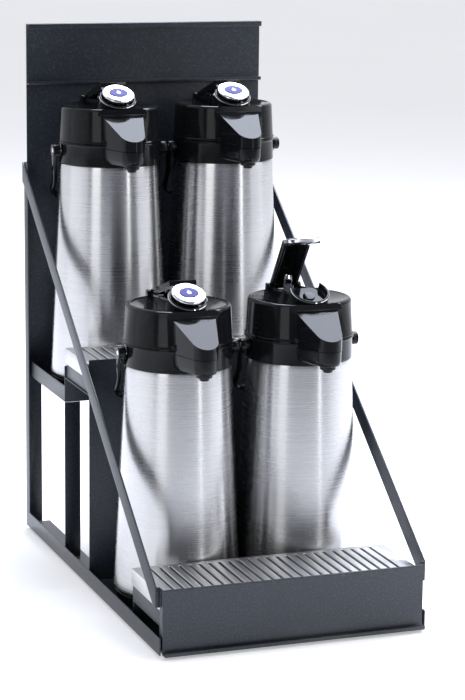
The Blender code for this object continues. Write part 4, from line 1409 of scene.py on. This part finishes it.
    def lever_space(self) -> bpy.types.Object:
        """Makes the space that the lowered lever fills over the cup, as a cutter."""
        rim = self.at.rim
        low = (-self.lever_half, -0.036, rim + 0.0060)
        space = Bench.block("lever_space", low, (self.lever_half, 0.020, rim + 0.060))
        space.points(lambda place: place.y < 0 and place.z < rim + 0.03).move((0, 0, 0.0110))
        return space.done()

    def cap_cup(self) -> bpy.types.Object:
        """Makes the cup around the cap, slotted behind for the lever."""
        radius = self.cup
        profile = [(radius * 0.8, -0.030), (radius + 0.0016, -0.026)]
        profile += [(radius + 0.0010, -0.018), (radius, -0.0085)]
        profile += arc((radius - 0.0010, -0.0080), 0.0010, 0, 90, 4)
        profile += [(radius - 0.0018, -0.0070), (radius - 0.0024, -0.0082), (radius - 0.0026, -0.0150)]
        profile += [(radius - 0.0040, -0.0166), (0.0080, -0.0170), (0.0074, -0.0150), (0.0040, -0.0148)]
        bench = Bench.ring("cap_cup", profile[0][0], profile[0][1], sides=72).turned(profile)
        cup = bench.done()
        cup.data.transform(self.cap_place())
        return bench.edit().carved(self.lever_space()).done()

    def cup_ring(self) -> bpy.types.Object:
        """Makes the thin bright ring around the cup's mouth."""
        radius = self.cup + 0.0002
        swell = radius + 0.0007
        profile = [(radius, -0.0100), (swell, -0.0094), (swell, -0.0088), (radius, -0.0082)]
        bench = Bench.ring("cup_ring", radius, -0.0100, filled=False, sides=72)
        ring = bench.turned(profile + profile[:1]).done()
        ring.data.transform(self.cap_place())
        return bench.edit().carved(self.lever_space()).done()

    def fittings(self) -> bpy.types.Object:
        """Makes the lever's ears and cradle rails, the lid's knuckle and the screw bosses beside the beak."""
        at, rim = self.at, self.at.rim
        parts = []
        for side in (-1, 1):
            near = side * self.lever_half
            ear = Bench.ring("ear", self.barrel, 0, sides=32)
            ear.turn(90, "Y").move((near, at.lever_hinge.y, at.lever_hinge.z))
            ear.points(lambda place: place.z < at.lever_hinge.z - 0.0008)
            ear.resize((1, 1.25, 0), (0, at.lever_hinge.y, at.lever_hinge.z)).move((0, -0.0005, -0.0075))
            ear.all().extrude((side * self.ear_width, 0, 0)).all()
            bpy.ops.mesh.normals_make_consistent(inside=False)
            parts.append(ear.softened(0.0006, 3, 35).done())
            low = (min(near, near + side * 0.0022), -0.020, rim - 0.006)
            high = (max(near, near + side * 0.0022), at.lever_hinge.y - 0.004, rim + 0.0040)
            rail = Bench.block("rail", low, high)
            rail.points(lambda place: place.y < 0 and place.z > rim).move((0, 0, 0.0060))
            parts.append(rail.softened(0.0007, 3).done())
            boss_profile = [(0.0034, -0.003), (0.0034, 0.0012), (0.0028, 0.0018)]
            boss_profile += [(0.0019, 0.0018), (0.0017, 0.0006), (0.0004, 0.0006)]
            boss = Bench.ring("boss", 0.0034, -0.003, sides=32).turned(boss_profile)
            boss.all().turn(90, "X").turn(side * 38, "Z").move((side * 0.0285, -0.0642, rim - 0.0445))
            parts.append(boss.done())
        pivot = at.lid_hinge
        knuckle = Bench.ring("knuckle", 0.0040, 0, sides=32)
        knuckle.turn(90, "Y").move((-0.008, pivot.y, pivot.z))
        knuckle.points(lambda place: place.z > pivot.z + 0.0008)
        knuckle.resize((1, 1, 0), (0, pivot.y, pivot.z)).move((0, -0.0030, 0.020))
        knuckle.all().extrude((0.016, 0, 0)).all()
        bpy.ops.mesh.normals_make_consistent(inside=False)
        parts.append(knuckle.softened(0.0006, 3, 35).done())
        return joined("fittings", *parts)

    def pins(self) -> bpy.types.Object:
        """Makes the bright ends of the lid's hinge pin."""
        pivot = self.at.lid_hinge
        profile = [(0.0014, -0.0140), (0.0020, -0.0136), (0.0020, 0.0136), (0.0014, 0.0140)]
        bench = Bench.ring("pin", profile[0][0], profile[0][1], sides=24).turned(profile)
        bench.all().turn(90, "Y").move(pivot)
        return bench.done()

    def build(self) -> dict[str, tuple[bpy.types.Object, str, Slot, tuple[str, ...]]]:
        """Makes the pieces.

        Returns:
            Each piece with its body, slot and the nodes that it stands for.
        """
        black = Slot.BLACK_PLASTIC
        return {
            "head_dome": (self.dome(), "lid", black, ("pump_head",)),
            "head_shield": (self.shield(), "lid", black, ()),
            "head_bead": (self.bead(), "lid", black, ()),
            "head_skirt": (self.skirt(), "lid", black, ()),
            "nozzle": (self.nozzle(), "lid", black, ()),
            "cap_cup": (self.cap_cup(), "lid", black, ()),
            "cup_ring": (self.cup_ring(), "lid", Slot.CHROME, ()),
            "head_fittings": (self.fittings(), "lid", black, ()),
            "lid_pin": (self.pins(), "lid", Slot.CHROME, ()),
        }


@dataclass
class LeverCap:
    """Polished thumb cap with an oval badge that holds a plain drop."""

    head: PumpHead
    radius: float = 0.022
    thickness: float = 0.0062
    badge_half: float = 0.0128
    badge_flat: float = 0.80

    def cap(self) -> bpy.types.Object:
        """Makes the disc with its raised border."""
        radius, low = self.radius, -self.thickness
        profile = [(radius * 0.5, low), (radius - 0.0022, low), (radius - 0.0008, low + 0.0007)]
        profile += arc((radius - 0.0014, -0.0016), 0.0014, -30, 80, 6)
        profile += [(radius - 0.0030, 0.0004), (radius - 0.0040, 0.0001), (radius * 0.2, 0.0003)]
        cap = Bench.ring("cap", profile[0][0], low, sides=72).turned(profile).done()
        cap.data.transform(self.head.cap_place())
        return cap

    def badge(self) -> bpy.types.Object:
        """Makes the oval badge."""
        half = self.badge_half
        profile = [(half, 0.0002), (half, 0.0006), (half - 0.0004, 0.0009)]
        profile += [(half * 0.6, 0.0011), (0.0010, 0.0012)]
        bench = Bench.ring("badge", half, 0.0002, sides=48).turned(profile)
        bench.all().resize((1, self.badge_flat, 1))
        badge = bench.done()
        badge.data.transform(self.head.cap_place())
        return badge

    def drop(self) -> bpy.types.Object:
        """Makes the plain drop on the badge."""
        bench = Bench.ring("drop", 0.0034, 0.0010, sides=32)
        bench.points(lambda place: place.y > 0.0029).move((0, 0.0026, 0)).resize((0.3, 1, 1))
        bench.all().extrude((0, 0, 0.0004)).resize((0.9, 0.9, 1)).all().move((0, -0.0012, 0))
        bpy.ops.mesh.normals_make_consistent(inside=False)
        drop = bench.done()
        drop.data.transform(self.head.cap_place())
        return drop

    def build(self) -> dict[str, tuple[bpy.types.Object, str, Slot, tuple[str, ...]]]:
        """Makes the pieces.

        Returns:
            Each piece with its body, slot and the nodes that it stands for.
        """
        return {
            "cap_disc": (self.cap(), "lever", Slot.CHROME, ("lever_cap",)),
            "cap_badge": (self.badge(), "lever", Slot.BADGE, ()),
            "cap_drop": (self.drop(), "lever", Slot.BADGE_MARK, ()),
        }


@dataclass
class Plunger:
    """Push rod with its bright clevis, and the disc that presses the bellows."""

    at: PotFrame
    rod_y: float = 0.043
    rod_half: float = 0.0048
    disc: float = 0.016
    fork_rise: float = 0.0018

    def rod(self) -> bpy.types.Object:
        """Makes the flat-sided rod on its disc."""
        low = self.at.head_bottom + 0.004
        top = self.at.rod_top
        profile = [(self.disc - 0.001, low), (self.disc, low + 0.001), (self.disc, low + 0.004)]
        profile += [(self.disc - 0.001, low + 0.005), (self.rod_half, low + 0.006)]
        disc = Bench.ring("disc", profile[0][0], low, sides=48).turned(profile)
        disc.all().move((0, self.rod_y, 0))
        half = self.rod_half
        corners = (-half, self.rod_y - 0.0024, low + 0.004), (half, self.rod_y + 0.0024, top - 0.0015)
        stem = Bench.block("stem", *corners).softened(0.0005, 3).done()
        return joined("push_rod", disc.done(), stem)

    def clevis(self) -> bpy.types.Object:
        """Makes the bright fork at the rod's top with its cross pin."""
        top, half = self.at.rod_top, self.rod_half
        low = (-half, self.rod_y - 0.0036, top - 0.0095)
        fork = Bench.block("fork", low, (half, self.rod_y + 0.0036, top + self.fork_rise))
        fork.faces(lambda centre, normal: normal.z > 0.5).inset(0.0014).extrude((0, 0, -0.0045))
        fork = fork.softened(0.0005, 3).done()
        profile = [(0.0012, -0.0052), (0.0018, -0.0049), (0.0018, 0.0049), (0.0012, 0.0052)]
        pin = Bench.ring("clevis_pin", 0.0012, -0.0052, sides=20).turned(profile)
        pin.all().turn(90, "Y").move((0, self.rod_y, top - 0.0030))
        return joined("clevis", fork, pin.done())

    def build(self) -> dict[str, tuple[bpy.types.Object, str, Slot, tuple[str, ...]]]:
        """Makes the pieces.

        Returns:
            Each piece with its body, slot and the nodes that it stands for.
        """
        return {
            "push_rod": (self.rod(), "plunger", Slot.GREY_PLASTIC, ("pump_plunger",)),
            "clevis": (self.clevis(), "plunger", Slot.CHROME, ()),
        }


@dataclass
class Airpots:
    """The four pots, each a set of copies of the same pieces."""

    levers: dict[str, Lever] = field(
        default_factory=lambda: {
            "rear_left": Lever.DOWN,
            "rear_right": Lever.DOWN,
            "front_left": Lever.DOWN,
            "front_right": Lever.RAISED,
        }
    )
    model: str = "rear_left"
    channel_half: float = 0.0155
    cheek: float = 0.0004

    def build(self, fitter: Fitter) -> None:
        """Models the pieces once and copies them to each pot.

        Args:
            fitter: What fits the pieces.
        """
        at = PotFrame.of(self.model)
        head = PumpHead(at)
        masters = {}
        for part in (PotBody(at), BailHandle(at), head, LeverCap(head), Plunger(at)):
            masters.update(part.build())
        for pot, lever in self.levers.items():
            self.place(fitter, pot, lever, at, masters)
        for piece, *_ in masters.values():
            bpy.data.objects.remove(piece, do_unlink=True)

    def lining(self, pot: str) -> bpy.types.Object:
        """Makes the pale lining of a lever's channel from the channel's own sides.

        Args:
            pot: The pot's prefix.

        Returns:
            The lining, one thin cheek on each side.
        """
        low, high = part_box(f"{pot}_lever_arm")
        middle = (low[0] + high[0]) / 2
        bench = Bench.copy_of(f"{pot}_lever_arm", f"{pot}_lever_lining")
        bench.faces(
            lambda centre, normal: abs(normal.x) < 0.99
            or abs(abs(centre.x - middle) - self.channel_half) > self.cheek
        )
        bench.delete_faces()
        for side in (-1, 1):
            bench.faces(lambda centre, normal, side=side: (centre.x - middle) * side > 0)
            bench.extrude((-side * self.cheek, 0, 0))
        bench.all()
        bpy.ops.mesh.normals_make_consistent(inside=False)
        return bench.done()

    def place(self, fitter: Fitter, pot: str, lever: Lever, at: PotFrame, masters: dict) -> None:
        """Copies the pieces to one pot.

        Args:
            fitter: What fits the pieces.
            pot: The pot's prefix.
            lever: How its lever stands.
            at: The places on the pot that was modelled.
            masters: Each piece with its body, slot and nodes.
        """
        here = PotFrame.of(pot)
        stand = Matrix.Translation(here.stand)
        hinge = Matrix.Translation(at.lever_hinge)
        raised = hinge @ Matrix.Rotation(-math.radians(lever.value), 4, "X") @ hinge.inverted()
        pushed = Matrix.Translation((0, 0, here.rod_top - at.rod_top))
        extra = {"lever": raised, "plunger": pushed}
        for name, (piece, body, slot, nodes) in masters.items():
            matrix = stand @ extra.get(body, Matrix.Identity(4))
            copy = moved_copy(piece, f"{pot}_{name}", matrix)
            fitter.fit(copy, f"{pot}_{body}", slot, *[f"{pot}_{node}" for node in nodes])
        fitter.fit(self.lining(pot), f"{pot}_lever", Slot.GREY_PLASTIC)
        arm = Bench.copy_of(f"{pot}_lever_arm", f"{pot}_lever").softened(0.0007, 3, 25).done()
        fitter.fit(arm, f"{pot}_lever", Slot.BLACK_PLASTIC, f"{pot}_lever_arm")
        fitter.dress_node(f"{pot}_dip_tube", Slot.GREY_PLASTIC)


# Studio -------------------------------------------------------------------------------------------
@dataclass(frozen=True)
class Softbox:
    """A rectangular studio light that faces a point."""

    name: str
    place: tuple[float, float, float]
    size: tuple[float, float]
    radiance: float
    tint: tuple[float, float, float] = (1.0, 1.0, 1.0)
    aim: tuple[float, float, float] = (0.0, 0.0, 0.35)

    def build(self) -> None:
        """Hangs the light."""
        light = bpy.data.lights.new(self.name, "AREA")
        light.shape = "RECTANGLE"
        light.size, light.size_y = self.size
        light.energy = self.radiance * math.pi * self.size[0] * self.size[1]
        light.color = self.tint
        made = bpy.data.objects.new(self.name, light)
        made.location = self.place
        facing = Vector(self.aim) - Vector(self.place)
        made.rotation_euler = facing.to_track_quat("-Z", "Y").to_euler()
        made.visible_camera = False
        bpy.context.scene.collection.objects.link(made)
        LOG.info("%s lights the studio", self.name)


@dataclass
class Studio:
    """Pale floor, soft light and the camera."""

    floor_half: float = 30.0
    front_world: tuple[float, float, float] = (0.10, 0.105, 0.12)
    back_world: tuple[float, float, float] = (0.92, 0.94, 1.0)
    camera_from_fascia: tuple[float, float, float] = (-1.0400, -2.5795, 0.9441)
    yaw: float = 20.295
    pitch: float = 11.748
    roll: float = 0.625
    lens: float = 121.56
    foot_reach: float = 0.0096
    softboxes: tuple[Softbox, ...] = (
        Softbox("left_wall", (-2.6, 0.2, 1.1), (2.4, 2.0), 0.42, (0.94, 0.95, 1.0)),
        Softbox("left_strip", (-2.3, -1.9, 1.3), (1.1, 2.2), 1.8),
        Softbox("right_strip", (1.34, -2.8, 1.13), (0.30, 2.2), 3.4),
        Softbox("right_key", (2.7, -1.1, 1.7), (2.2, 2.4), 1.35),
        Softbox("header_key", (1.5, -1.6, 3.0), (1.0, 1.0), 4.0, aim=(0.1, 0.2, 0.6)),
        Softbox("overhead", (0.9, 0.9, 2.7), (2.6, 2.2), 9.8, (0.80, 0.85, 1.0)),
    )

    def floor(self) -> None:
        """Lays the floor."""
        clear_selection()
        bpy.ops.mesh.primitive_plane_add(size=2 * self.floor_half, location=(0, 0, CAD_BOX[0].z - 0.0002))
        floor = bpy.context.active_object
        floor.name = "studio_floor"
        floor.data.materials.append(PaleFloor().material())

    def camera(self) -> None:
        """Sets up the camera in front of the rack, a little above it and to its left."""
        yaw, pitch = math.radians(self.yaw), math.radians(self.pitch)
        ahead = Vector((math.sin(yaw) * math.cos(pitch), math.cos(yaw) * math.cos(pitch), -math.sin(pitch)))
        right = Vector((math.cos(yaw), -math.sin(yaw), 0))
        right = Matrix.Rotation(-math.radians(self.roll), 3, ahead) @ right
        up = right.cross(ahead)
        turn = Matrix((right, up, -ahead)).transposed().to_4x4()
        fascia_face = CAD_BOX[0].y + self.foot_reach
        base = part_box("base_pan")[0].z
        place = Vector(self.camera_from_fascia) + Vector((0, fascia_face, base))
        data = bpy.data.cameras.new("camera")
        data.lens = self.lens
        data.clip_end = 200
        camera = bpy.data.objects.new("camera", data)
        camera.matrix_world = Matrix.Translation(place) @ turn
        bpy.context.scene.collection.objects.link(camera)
        bpy.context.scene.camera = camera

    def build(self) -> None:
        """Builds the studio."""
        scene = bpy.context.scene
        scene.view_settings.view_transform = "Standard"
        world = bpy.data.worlds.new("studio_world")
        world.use_nodes = True
        tree = world.node_tree
        place = tree.nodes.new("ShaderNodeTexCoord")
        parts = tree.nodes.new("ShaderNodeSeparateXYZ")
        spread = tree.nodes.new("ShaderNodeMapRange")
        mix = tree.nodes.new("ShaderNodeMix")
        spread.inputs["From Min"].default_value = -0.5
        spread.inputs["From Max"].default_value = 0.6
        mix.data_type = "RGBA"
        mix.inputs[6].default_value = colour(self.front_world)
        mix.inputs[7].default_value = colour(self.back_world)
        tree.links.new(place.outputs["Generated"], parts.inputs[0])
        tree.links.new(parts.outputs["Y"], spread.inputs["Value"])
        tree.links.new(spread.outputs[0], mix.inputs[0])
        tree.links.new(mix.outputs[2], tree.nodes["Background"].inputs["Color"])
        scene.world = world
        for softbox in self.softboxes:
            softbox.build()
        self.floor()
        self.camera()


def main() -> None:
    """Builds the studio, the rack and the airpots in order."""
    logging.basicConfig(level=logging.INFO, format="%(message)s")
    Studio().build()
    fitter = Fitter(finishes())
    SheetMetal().build(fitter)
    for tier in ("lower", "upper"):
        Grille(tier).build(fitter)
    RackTrim().build(fitter)
    Airpots().build(fitter)
    LOG.info("%d pieces fitted", fitter.count)


if __name__ == "__main__":
    main()
